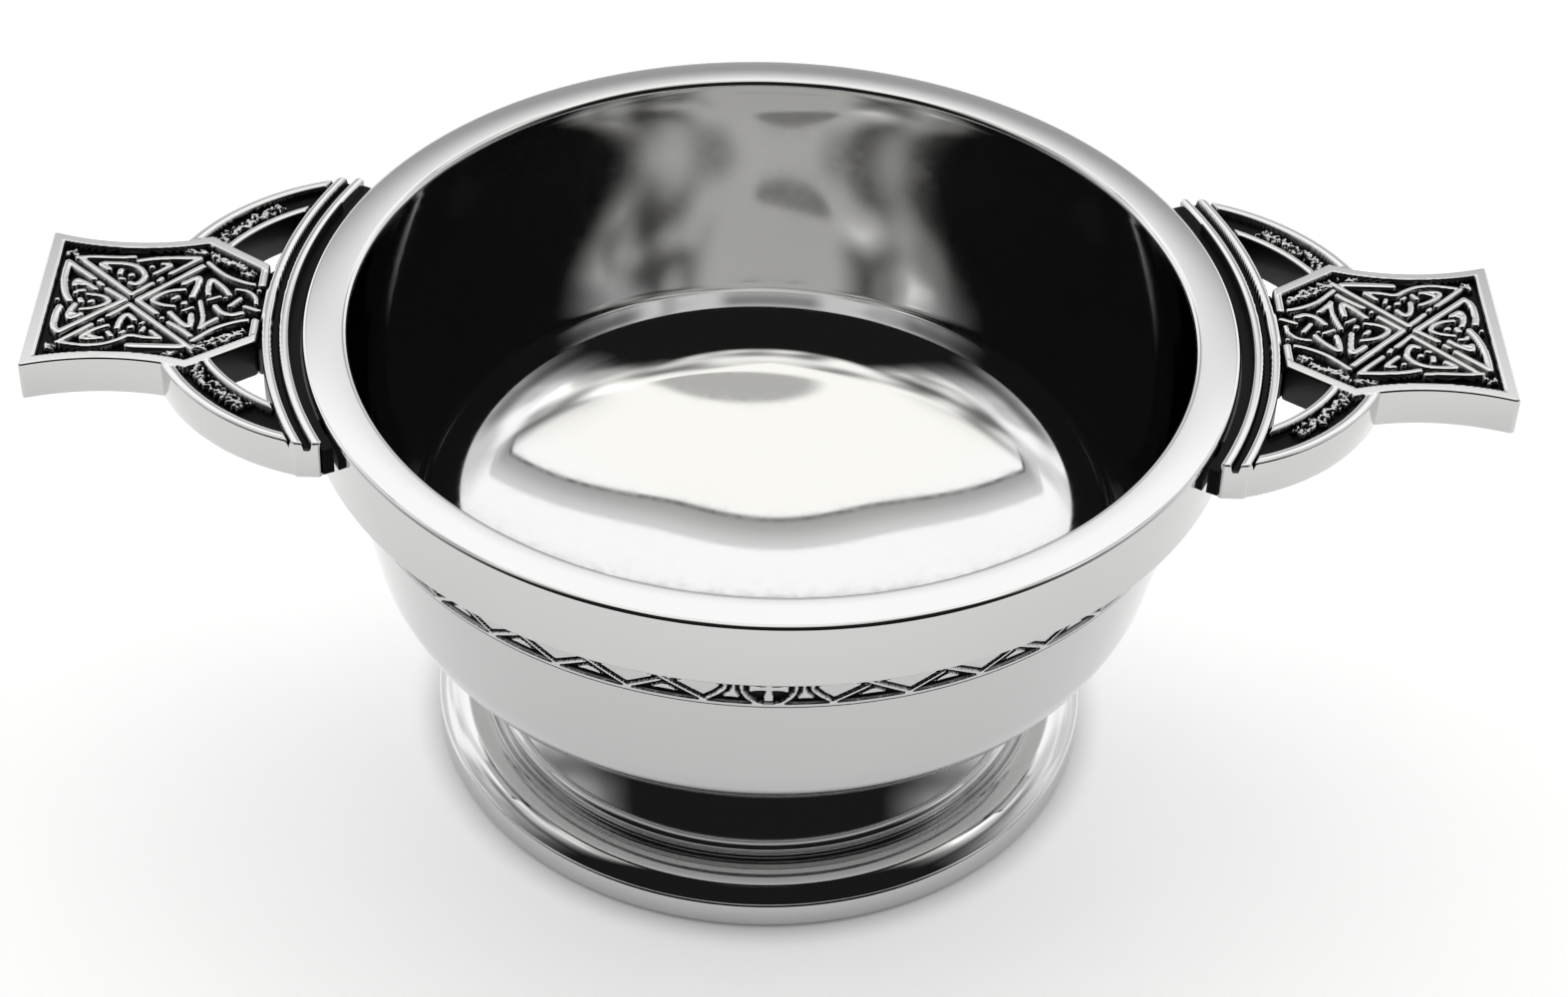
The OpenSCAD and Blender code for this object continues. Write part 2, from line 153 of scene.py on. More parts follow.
class QuaichLugSizes(bpy.types.PropertyGroup):
    """Sizes of the cast lugs."""
    end: length("End", LUG_HIGH[0], "Distance of a lug's end from the bowl's axis")
    end_half: length("End half width", 10.8, "Half the width of a lug at its end")
    underside: length("Underside", LUG_LOW[2], "Height of a lug's underside")
    shoulder: length("Shoulder", 55.0, "Distance of the shoulders from the axis")
    shoulder_half: length("Shoulder half width", 10.5, "Half the width across the shoulders")
    side_hollow: length("Side hollow", 1.3, "Hollow of the arm's curved sides")
    neck: length("Neck", 48.9, "Distance of the neck's corners from the axis")
    neck_half: length("Neck half width", 6.2, "Half the width across the neck's corners")
    ridge_inner: length("First ridge", 46.2, "Inner radius of the ridge beside the collar")
    ridge_width: length("Ridge width", 0.93, "Width of each ridge of the spine")
    ridge_groove: length("Ridge groove", 0.7, "Groove between the two ridges")
    spine_angle: angle("Spine half angle", 27.5, "Half angle of the spine along the rim")
    root_angle: angle("Root half angle", 27.2, "Half angle of the soldered root")
    halo_centre: length("Ring centre", 37.7, "Distance of the ring's centre from the axis")
    halo_radius: length("Ring radius", 22.0, "Outer radius of the ring round the cross")
    halo_width: length("Ring width", 4.5, "Width of the ring")
    halo_edge: length("Ring outer edge", 1.15, "Raised edge on the outside of the ring")
    halo_inner: length("Ring inner edge", 0.9, "Raised edge on the inside of the ring")
    border: length("Border", 1.15, "Raised border along the arm's sides")
    end_border: length("End border", 1.3, "Raised border along the arm's end")
    relief: length("Relief", 0.75, "Depth of the sunk ground")
    edge_round: length("Edge rounding", 0.24, "Rounding of the casting's upper edges")
    saltire: length("Saltire centre", 61.6, "Distance of the saltire's centre from the axis")
    grid: length("Grid", 0.11, "Spacing of the modelled surface")


class QuaichColours(bpy.types.PropertyGroup):
    """Colours of the metal and the table."""
    pewter: colour("Pewter", (0.605, 0.605, 0.603), "Polished pewter")
    blackening: colour("Blackening", (0.006, 0.006, 0.006), "Patina left in the recesses")
    solder: colour("Solder", (0.14, 0.14, 0.145), "Dull solder")
    table: colour("Table", (0.8, 0.8, 0.8), "Table under the cup")


def mm(value):
    """A length property's value in millimetres."""
    return value / MM


def smooth_step(low, high, value):
    """Eased ramp from 0 at low to 1 at high."""
    t = np.clip((value - low) / (high - low), 0.0, 1.0)
    return t * t * (3.0 - 2.0 * t)


# Arcs and angles

def arc_points(centre, radius, start, end, step=3.0):
    """Points on an arc from one angle to another, in degrees."""
    count = max(2, int(math.ceil(abs(end - start) / step)))
    turns = [math.radians(start + (end - start) * i / count) for i in range(count + 1)]
    return [(centre[0] + radius * math.cos(a), centre[1] + radius * math.sin(a)) for a in turns]


def arc_centre(p, q, radius):
    """Centre of a circle through p and q, on the left of the way from p to q."""
    dx, dy = q[0] - p[0], q[1] - p[1]
    chord = math.hypot(dx, dy)
    off = math.sqrt(radius * radius - chord * chord / 4)
    return (p[0] + q[0]) / 2 - dy / chord * off, (p[1] + q[1]) / 2 + dx / chord * off


def direction(centre, point):
    """Angle of a point seen from a centre, in degrees."""
    return math.degrees(math.atan2(point[1] - centre[1], point[0] - centre[0]))


# Meshes and node trees

def shade(mesh, sharp_degrees):
    """Smooth shading that keeps edges above an angle sharp."""
    mesh.polygons.foreach_set("use_smooth", [True] * len(mesh.polygons))
    mesh.set_sharp_from_angle(angle=math.radians(sharp_degrees))
    mesh.update()


def new_piece(name, mesh):
    """Links a mesh as an object at the origin."""
    piece = bpy.data.objects.new(name, mesh)
    bpy.context.scene.collection.objects.link(piece)
    return piece


def outward(mesh):
    """Welds a closed mesh and points its faces outwards."""
    work = bmesh.new()
    work.from_mesh(mesh)
    bmesh.ops.remove_doubles(work, verts=work.verts, dist=POINT_WELD)
    bmesh.ops.recalc_face_normals(work, faces=work.faces)
    work.to_mesh(mesh)
    work.free()


def draw_out(work, edges):
    """Draws open edges out, and gives the new open edges and their vertices."""
    made = bmesh.ops.extrude_edge_only(work, edges=edges)["geom"]
    fresh = [g for g in made if isinstance(g, bmesh.types.BMEdge) and g.is_boundary]
    return fresh, list({v for e in fresh for v in e.verts})


def bake(piece):
    """Replaces a piece's modifiers by the mesh that they give."""
    evaluated = piece.evaluated_get(bpy.context.evaluated_depsgraph_get())
    mesh = bpy.data.meshes.new_from_object(evaluated)
    piece.modifiers.clear()
    old = piece.data
    piece.data = mesh
    mesh.name = piece.name
    bpy.data.meshes.remove(old)
    return mesh


def built(piece, tree, values):
    """Runs a geometry node tree on a piece and keeps the mesh that it makes."""
    modifier = piece.modifiers.new(tree.name, "NODES")
    modifier.node_group = tree
    for identifier, value in values.items():
        modifier[identifier] = value
    mesh = bake(piece)
    bpy.data.node_groups.remove(tree)
    return mesh


def maths(nodes, links, operation, a, b):
    """A maths node fed by sockets or plain numbers."""
    node = nodes.new("ShaderNodeMath")
    node.operation = operation
    for socket, value in zip(node.inputs, (a, b)):
        if isinstance(value, (int, float)):
            socket.default_value = value
        else:
            links.new(value, socket)
    return node.outputs["Value"]


def empty_tree(name, inputs):
    """A geometry node tree that takes and gives geometry, and the identifiers of its inputs."""
    tree = bpy.data.node_groups.new(name, "GeometryNodeTree")
    ids = {}
    for label, kind in {"Geometry": "Geometry", **inputs}.items():
        socket = tree.interface.new_socket(label, in_out="INPUT", socket_type="NodeSocket" + kind)
        ids[label] = socket.identifier
    tree.interface.new_socket("Geometry", in_out="OUTPUT", socket_type="NodeSocketGeometry")
    return tree, ids


def pass_on(link, *nodes):
    """Links the geometry of each node to the next."""
    for first, second in zip(nodes, nodes[1:]):
        link(first.outputs[0], second.inputs[0])


# Turned pieces

def turning_tree():
    """Geometry nodes that turn an edge profile (radius along X, height along Y) about the Z axis."""
    tree, ids = empty_tree("turned_on_a_lathe", {"Segments": "Int", "Finish": "Material"})
    nodes, link = tree.nodes, tree.links.new
    start = nodes.new("NodeGroupInput")
    section = nodes.new("GeometryNodeMeshToCurve")
    path = nodes.new("GeometryNodeCurvePrimitiveCircle")
    path.inputs["Radius"].default_value = LATHE_RADIUS
    sweep = nodes.new("GeometryNodeCurveToMesh")
    weld = nodes.new("GeometryNodeMergeByDistance")
    weld.inputs["Distance"].default_value = TURNED_WELD
    real = nodes.new("GeometryNodeRealizeInstances")
    paint = nodes.new("GeometryNodeSetMaterial")
    done = nodes.new("NodeGroupOutput")
    link(start.outputs["Segments"], path.inputs["Resolution"])
    pass_on(link, start, section)
    link(section.outputs["Curve"], sweep.inputs["Profile Curve"])
    link(start.outputs["Finish"], paint.inputs["Material"])
    pass_on(link, path, sweep, weld, real, paint, done)
    return tree, ids


def turned_piece(name, section, segments, material, closed=True):
    """A piece turned from a section, given as (radius, height) points in millimetres."""
    count = len(section)
    mesh = bpy.data.meshes.new(name)
    points = [(r * MM - LATHE_RADIUS, z * MM, 0.0) for r, z in section]
    edges = [(i, (i + 1) % count) for i in range(count if closed else count - 1)]
    mesh.from_pydata(points, edges, [])
    piece = new_piece(name, mesh)
    tree, ids = turning_tree()
    mesh = built(piece, tree, {ids["Segments"]: segments, ids["Finish"]: material})
    # The sweep may lay heights downwards
    if max(v.co.z for v in mesh.vertices) <= 0.0:
        mesh.transform(Matrix.Diagonal((1, 1, -1, 1)))
    outward(mesh)
    shade(mesh, TURNED_SHARP)
    return piece


def swept(p, corner, q, count=16):
    """Points on a smooth bend from p to q that starts and ends in line with the sides of a corner."""
    points = []
    for i in range(count + 1):
        t = i / count
        weights = (1 - t) ** 2, 2 * t * (1 - t), t * t
        points.append(tuple(sum(w * c for w, c in zip(weights, ends)) for ends in zip(p, corner, q)))
    return points


def turn_centre(wall_r, wall_z, lean, turn, dish, dish_z):
    """Centre of the turn that is tangent to a leaning wall and to a dish."""
    slope = math.tan(lean)
    base = wall_r - wall_z * slope - turn / math.cos(lean)
    # The centre's height solves square * z^2 + 2 * linear * z + constant = 0
    square = slope * slope + 1
    linear = base * slope - dish_z
    constant = base * base + dish_z * dish_z - (dish - turn) ** 2
    z = (-linear - math.sqrt(linear * linear - square * constant)) / square
    return base + slope * z, z


def bowl_section(sizes):
    """Section of the bowl's shell: from the middle of the floor up, over the edge and back under."""
    collar_z = mm(sizes.rim_height - sizes.collar_height)
    cap_z = mm(sizes.rim_height - sizes.collar_cap)
    wall_out = mm(sizes.rim_radius - sizes.collar_step)
    wall_in = wall_out - mm(sizes.wall)
    lean = sizes.lean
    dish = mm(sizes.dish_radius)
    under = dish + mm(sizes.floor_thickness)
    dish_z = mm(sizes.floor_depth) + under
    steep = -math.degrees(lean)

    def half(wall_r, turn, radius):
        """Points from the axis to the collar's height on one side of the shell."""
        centre = turn_centre(wall_r, collar_z, lean, turn, radius, dish_z)
        low = direction((0.0, dish_z), centre)
        dished = arc_points((0.0, dish_z), radius, -90.0, low, 0.5)
        return dished + arc_points(centre, turn, low, steep, 2.5)[1:]

    inside = half(wall_in, mm(sizes.turn_inside), dish)
    inside += swept(inside[-1], (wall_in, collar_z), (wall_in, cap_z))[1:]
    outside = half(wall_out, mm(sizes.turn_outside), under)
    slope = math.tan(lean)
    band_z = collar_z - mm(sizes.band_height)
    band_in = mm(sizes.band_thickness)
    seat_low = wall_out - (collar_z - band_z) * slope
    outside += [(seat_low, band_z), (seat_low - band_in, band_z), (wall_out - band_in, collar_z),
                (wall_out, collar_z), (wall_out, cap_z)]
    return inside + outside[::-1]


def collar_section(sizes):
    """Section of the collar: a flat cap over the bowl's edge and a skirt outside the wall."""
    top = mm(sizes.rim_height)
    low = top - mm(sizes.collar_height)
    cap = top - mm(sizes.collar_cap)
    out = mm(sizes.rim_radius)
    wall_out = out - mm(sizes.collar_step)
    wall_in = wall_out - mm(sizes.wall)
    skirt_in = wall_out + mm(sizes.solder_gap)
    lip, rim, skirt = mm(sizes.lip_round), mm(sizes.rim_round), mm(sizes.skirt_round)
    points = [(skirt_in, cap), (wall_in, cap)]
    points += arc_points((wall_in + lip, top - lip), lip, 180.0, 90.0, 9.0)
    points += arc_points((out - rim, top - rim), rim, 90.0, 0.0, 7.5)
    points += arc_points((out - skirt, low + skirt), skirt, 0.0, -90.0, 15.0)
    return points + [(skirt_in, low)]


def foot_section(sizes, bowl):
    """Section of the hollow foot: lip, dome, bead and cove, closed by the underside of the bowl."""
    out, top = mm(sizes.radius), mm(sizes.height)
    lip, base = mm(sizes.lip_round), mm(sizes.base_round)
    bead, cove, dome = mm(sizes.bead_radius), mm(sizes.cove_radius), mm(sizes.dome_radius)
    stand_in = out - mm(sizes.stand)
    crease = (out - 0.8 * lip, mm(sizes.lip_height))
    dome_end = (crease[0] - mm(sizes.dome_width), crease[1] + mm(sizes.dome_rise))
    dome_at = arc_centre(crease, dome_end, dome)
    bead_at = (dome_end[0] - bead, dome_end[1] + bead)
    groove_z = dome_end[1] + bead / 3
    dome_low = (dome_at[0] - math.sqrt(dome * dome - (groove_z - dome_at[1]) ** 2), groove_z)
    bead_low = math.degrees(math.asin((groove_z - bead_at[1]) / bead))
    # Angles in degrees at which the lip's rounding and the bead end
    lip_turn, bead_turn = 78.5, 100.0
    lead = math.radians(bead_turn - 90.0)
    cove_start = (bead_at[0] - bead * math.sin(lead), bead_at[1] + bead * math.cos(lead))
    cove_end = (mm(sizes.neck), top)
    cove_at = arc_centre(cove_end, cove_start, cove)
    points = arc_points((out - base, base), base, -90.0, 0.0, 7.5)
    points += arc_points((out - lip, crease[1] - lip), lip, 0.0, lip_turn, 9.0)
    dome_first, dome_last = direction(dome_at, crease), direction(dome_at, dome_low)
    points += arc_points(dome_at, dome, dome_first, dome_last, 2.5)[1:]
    points += arc_points(bead_at, bead, bead_low, bead_turn, 6.0)
    first = direction(cove_at, cove_start) % 360.0
    last = direction(cove_at, cove_end) % 360.0
    points += arc_points(cove_at, cove, first, last, 0.6)[1:]
    under = mm(bowl.dish_radius + bowl.floor_thickness + bowl.solder_gap)
    under_z = mm(bowl.floor_depth) + under - mm(bowl.solder_gap)
    hollow = cove + mm(sizes.wall)

    def inside(z):
        """Radius of the hollow at a height, as it follows the cove."""
        return cove_at[0] - math.sqrt(hollow * hollow - (z - cove_at[1]) ** 2)

    # The hollow starts where it meets the bowl, and leaves the cove at the height of the dome
    neck_z = top
    for _ in range(6):
        neck_z = under_z - math.sqrt(under * under - inside(neck_z) ** 2)
    inner_first = direction(cove_at, (inside(neck_z), neck_z)) % 360.0
    inner_last = direction(cove_at, (inside(dome_end[1]), dome_end[1])) % 360.0
    points += arc_points(cove_at, hollow, inner_first, inner_last, 0.9)
    return points + [(stand_in, 0.0)]


# Relief: raised work is drawn as levels, 1 on the polished top and 0 on the blackened ground

def path_distance(x, y, points):
    """Distance of every grid point from a path."""
    best = np.full(x.shape, FAR)
    for (ax, ay), (bx, by) in zip(points, points[1:]):
        dx, dy = bx - ax, by - ay
        t = np.clip(((x - ax) * dx + (y - ay) * dy) / (dx * dx + dy * dy + 1e-12), 0.0, 1.0)
        best = np.minimum(best, np.hypot(x - ax - t * dx, y - ay - t * dy))
    return best


def eased(points, steps=6):
    """A smooth path through given points."""
    if len(points) < 3:
        return points
    ends = [points[0]] + list(points) + [points[-1]]
    path = []
    for p0, p1, p2, p3 in zip(ends, ends[1:], ends[2:], ends[3:]):
        for i in range(steps):
            t = i / steps
            path.append(tuple(
                0.5 * (2 * b + (c - a) * t + (2 * a - 5 * b + 4 * c - d) * t * t
                       + (3 * b - a - 3 * c + d) * t ** 3)
                for a, b, c, d in zip(p0, p1, p2, p3)))
    path.append(points[-1])
    return path


def raised(distance, width, crown=0.12, wall=0.15):
    """Level of a rounded strand by distance from its middle."""
    half = width / 2
    top = 1.0 - crown * np.minimum(distance / half, 1.0) ** 2
    return top * (1.0 - smooth_step(half - wall / 2, half + wall / 2, distance))


def lay(level, distance, width, gap=0.18, height=0.95):
    """Lays a strand over what is there, with a dark moat on both sides of it."""
    moat = smooth_step(width / 2, width / 2 + gap, distance)
    return np.maximum(np.minimum(level, moat), height * raised(distance, width))


def field_mesh(name, xs, ys, inside, place, attribute):
    """A surface over a grid in millimetres, kept where inside is negative.

    place gives each point of the grid its position, and attribute its patina.
    """
    grid_x, grid_y = np.meshgrid(xs, ys, indexing="ij")
    value = inside(grid_x, grid_y)
    known, plan, faces = {}, [], []

    def index(key, x, y):
        """Number of a point, which is added when it is new."""
        if key not in known:
            known[key] = len(plan)
            plan.append((x, y))
        return known[key]

    def corner(p):
        """Number of a grid point."""
        return index(p, xs[p[0]], ys[p[1]])

    def crossing(p, q):
        """Number of the point where the trimmed edge passes between two grid points."""
        t = value[p] / (value[p] - value[q])
        x, y = xs[p[0]], ys[p[1]]
        return index((min(p, q), max(p, q)), x + t * (xs[q[0]] - x), y + t * (ys[q[1]] - y))

    held = value < 0.0
    some = held[:-1, :-1] | held[1:, :-1] | held[:-1, 1:] | held[1:, 1:]
    for i, j in zip(*np.nonzero(some)):
        ring = [(i, j), (i + 1, j), (i + 1, j + 1), (i, j + 1)]
        face = []
        for p, q in zip(ring, ring[1:] + ring[:1]):
            if held[p]:
                face.append(corner(p))
            if held[p] != held[q]:
                face.append(crossing(p, q))
        faces.append(face)
    plan = np.array(plan)
    mesh = bpy.data.meshes.new(name)
    mesh.from_pydata([tuple(v) for v in place(plan[:, 0], plan[:, 1]) * MM], [], faces)
    patina = mesh.attributes.new("patina", "FLOAT", "POINT")
    patina.data.foreach_set("value", np.clip(attribute(plan[:, 0], plan[:, 1]), 0.0, 1.0))
    return mesh


def darkness(level):
    """How much blackening is left at a level of the relief."""
    return 1.0 - smooth_step(0.7, 0.88, level)


# Knot band

class BandOrnament:
    """Levels of the band's lattice cell and of its medallion, drawn flat in millimetres."""

    # Spacing of the points, width of the groove beside a line, depth of the seam along the edges
    spacing, moat, seam = 0.15, 0.14, 0.06

    def __init__(self, sizes):
        self.height = mm(sizes.band_height)
        self.line = mm(sizes.band_line)
        self.groove = mm(sizes.band_groove)
        self.low = mm(sizes.band_border)
        self.high = self.height - self.low
        self.middle = self.height / 2
        self.top_z = mm(sizes.rim_height - sizes.collar_height)
        self.slope = math.tan(sizes.lean)
        self.radius = mm(sizes.rim_radius - sizes.collar_step)
        self.mid_radius = self.radius - self.height / 2 * self.slope
        self.cell_angle = (math.pi - 2 * sizes.medallion_angle) / sizes.band_cells
        self.cell = self.mid_radius * self.cell_angle
        self.medallion_half = self.mid_radius * sizes.medallion_angle
        self.medallion = mm(sizes.medallion_radius)
        self.cut = mm(sizes.band_cut)
        self.thickness = mm(sizes.band_thickness)

    def border(self, y):
        """Level of the plain borders."""
        edge = np.minimum(y, self.height - y)
        return 1.0 - smooth_step(self.low - 0.1, self.low + 0.06, edge)

    def fields(self, distance):
        """Level of raised fields, given the distance to the nearest raised line."""
        start = self.line / 2 + self.groove
        return smooth_step(start - 0.08, start + 0.12, distance)

    def lattice(self, x, y):
        """One cell: two crossing lines, with raised fields between them."""
        half = self.cell / 2
        rise = [(-half, self.low), (half, self.high)]
        fall = [(-half, self.high), (half, self.low)]
        far = 2 * half
        frame_lines = [[(-far, self.low), (far, self.low)], [(-far, self.high), (far, self.high)]]
        outer = []
        for side in (half, -half):
            outer.append([(side, self.low), (3 * side, self.high)])
            outer.append([(side, self.high), (3 * side, self.low)])
        lines = np.minimum.reduce([path_distance(x, y, p) for p in [rise, fall] + outer])
        frames = [path_distance(x, y, p) - self.line / 4 for p in frame_lines]
        around = np.minimum.reduce([lines] + frames)
        level = np.maximum(self.border(y), 0.9 * self.fields(around))
        for path in outer + [rise, fall]:
            level = lay(level, path_distance(x, y, path), self.line, self.moat, 1.0)
        return np.maximum(level, self.border(y))

    def badge(self, x, y):
        """The medallion: ring, equal-armed cross and a flared field on each side."""
        half, r = self.medallion_half, self.medallion
        from_ring = np.hypot(x, y - self.middle)
        x = np.abs(x)
        side = eased([(half, self.low), (half - 1.3, self.low + 1.1), (half - 2.0, self.middle),
                      (half - 1.3, self.high - 1.1), (half, self.high)])
        outer = [(half, self.low), (half + self.cell / 2, self.middle), (half, self.high)]
        ring = np.abs(from_ring - r)
        curved = path_distance(x, y, side)
        frame_lines = np.minimum(np.abs(y - self.low), np.abs(y - self.high)) - self.line / 4
        around = np.minimum.reduce([ring, curved, frame_lines, path_distance(x, y, outer)])
        level = np.maximum(self.border(y), 0.9 * self.fields(around) * (from_ring > r))
        arm = r - self.line / 2 - 0.42
        across, along = x, np.abs(y - self.middle)
        flare = 0.3 + 0.16 * np.maximum(across, along) / arm
        cross = np.minimum(across, along) - flare
        cross = np.maximum(cross, np.maximum(across, along) - arm)
        level = np.maximum(level, 1.0 - smooth_step(-0.06, 0.1, cross))
        for distance in (path_distance(x, y, outer), curved, ring):
            level = lay(level, distance, self.line, self.moat, 1.0)
        level = np.maximum(level, self.border(y))
        inwards = smooth_step(0.0, 0.4, half - x)
        return level * inwards + self.lattice(x - half - self.cell / 2, y) * (1.0 - inwards)

    def wrap(self, level):
        """Places a flat drawing on the wall's cone, about the +X direction."""
        def place(x, y):
            """Positions of flat points on the wall."""
            z = self.top_z - self.height + y
            edge = np.minimum(y, self.height - y)
            seam = self.seam * (1.0 - smooth_step(0.0, 0.1, edge))
            r = self.radius - (self.top_z - z) * self.slope - self.cut * (1.0 - level(x, y)) - seam
            turn = x / self.mid_radius
            return np.stack([r * np.cos(turn), r * np.sin(turn), z], axis=1)
        return place

    def patch(self, name, half, level):
        """A piece of the band, half its length to each side of the +X direction."""
        columns = int(round(2 * half / self.spacing))
        rows = int(round(self.height / self.spacing))
        xs, ys = np.linspace(-half, half, columns + 1), np.linspace(0.0, self.height, rows + 1)
        return field_mesh(name, xs, ys, lambda x, y: np.full(x.shape, -1.0), self.wrap(level),
                          lambda x, y: darkness(level(x, y)))


def band_tree():
    """Geometry nodes that set lattice cells round the bowl, with two medallions between them."""
    tree, ids = empty_tree("knot_band_round_the_bowl", {
        "Cell": "Object", "Medallion": "Object", "Cells": "Int",
        "Cell angle": "Float", "Medallion angle": "Float", "Finish": "Material",
    })
    nodes, link = tree.nodes, tree.links.new
    start, done = nodes.new("NodeGroupInput"), nodes.new("NodeGroupOutput")
    index = nodes.new("GeometryNodeInputIndex")

    def compute(operation, a, b):
        """A maths node of this tree."""
        return maths(nodes, tree.links, operation, a, b)

    def set_round(shape, count, turn):
        """Copies of an object, each turned about the Z axis."""
        info = nodes.new("GeometryNodeObjectInfo")
        line = nodes.new("GeometryNodeMeshLine")
        line.inputs["Offset"].default_value = (0.0, 0.0, 0.0)
        copies = nodes.new("GeometryNodeInstanceOnPoints")
        spin = nodes.new("ShaderNodeCombineXYZ")
        link(start.outputs[shape], info.inputs["Object"])
        if isinstance(count, int):
            line.inputs["Count"].default_value = count
        else:
            link(count, line.inputs["Count"])
        link(turn, spin.inputs["Z"])
        link(line.outputs["Mesh"], copies.inputs["Points"])
        link(info.outputs["Geometry"], copies.inputs["Instance"])
        link(spin.outputs["Vector"], copies.inputs["Rotation"])
        return copies.outputs["Instances"]

    quarter = math.pi / 2
    cells, cell_angle = start.outputs["Cells"], start.outputs["Cell angle"]
    medallion_angle = start.outputs["Medallion angle"]
    side = compute("FLOOR", compute("DIVIDE", index.outputs["Index"], cells), 0.0)
    gap = compute("MULTIPLY", side, compute("MULTIPLY", medallion_angle, 2.0))
    step = compute("MULTIPLY", compute("ADD", index.outputs["Index"], 0.5), cell_angle)
    first = compute("SUBTRACT", medallion_angle, quarter)
    turn = compute("ADD", compute("ADD", step, gap), first)
    half_turn = compute("SUBTRACT", compute("MULTIPLY", index.outputs["Index"], math.pi), quarter)
    join = nodes.new("GeometryNodeJoinGeometry")
    real = nodes.new("GeometryNodeRealizeInstances")
    weld = nodes.new("GeometryNodeMergeByDistance")
    weld.inputs["Distance"].default_value = BAND_WELD
    paint = nodes.new("GeometryNodeSetMaterial")
    link(set_round("Cell", compute("MULTIPLY", cells, 2.0), turn), join.inputs["Geometry"])
    link(set_round("Medallion", 2, half_turn), join.inputs["Geometry"])
    link(start.outputs["Finish"], paint.inputs["Material"])
    pass_on(link, join, real, weld, paint, done)
    return tree, ids


# Lugs

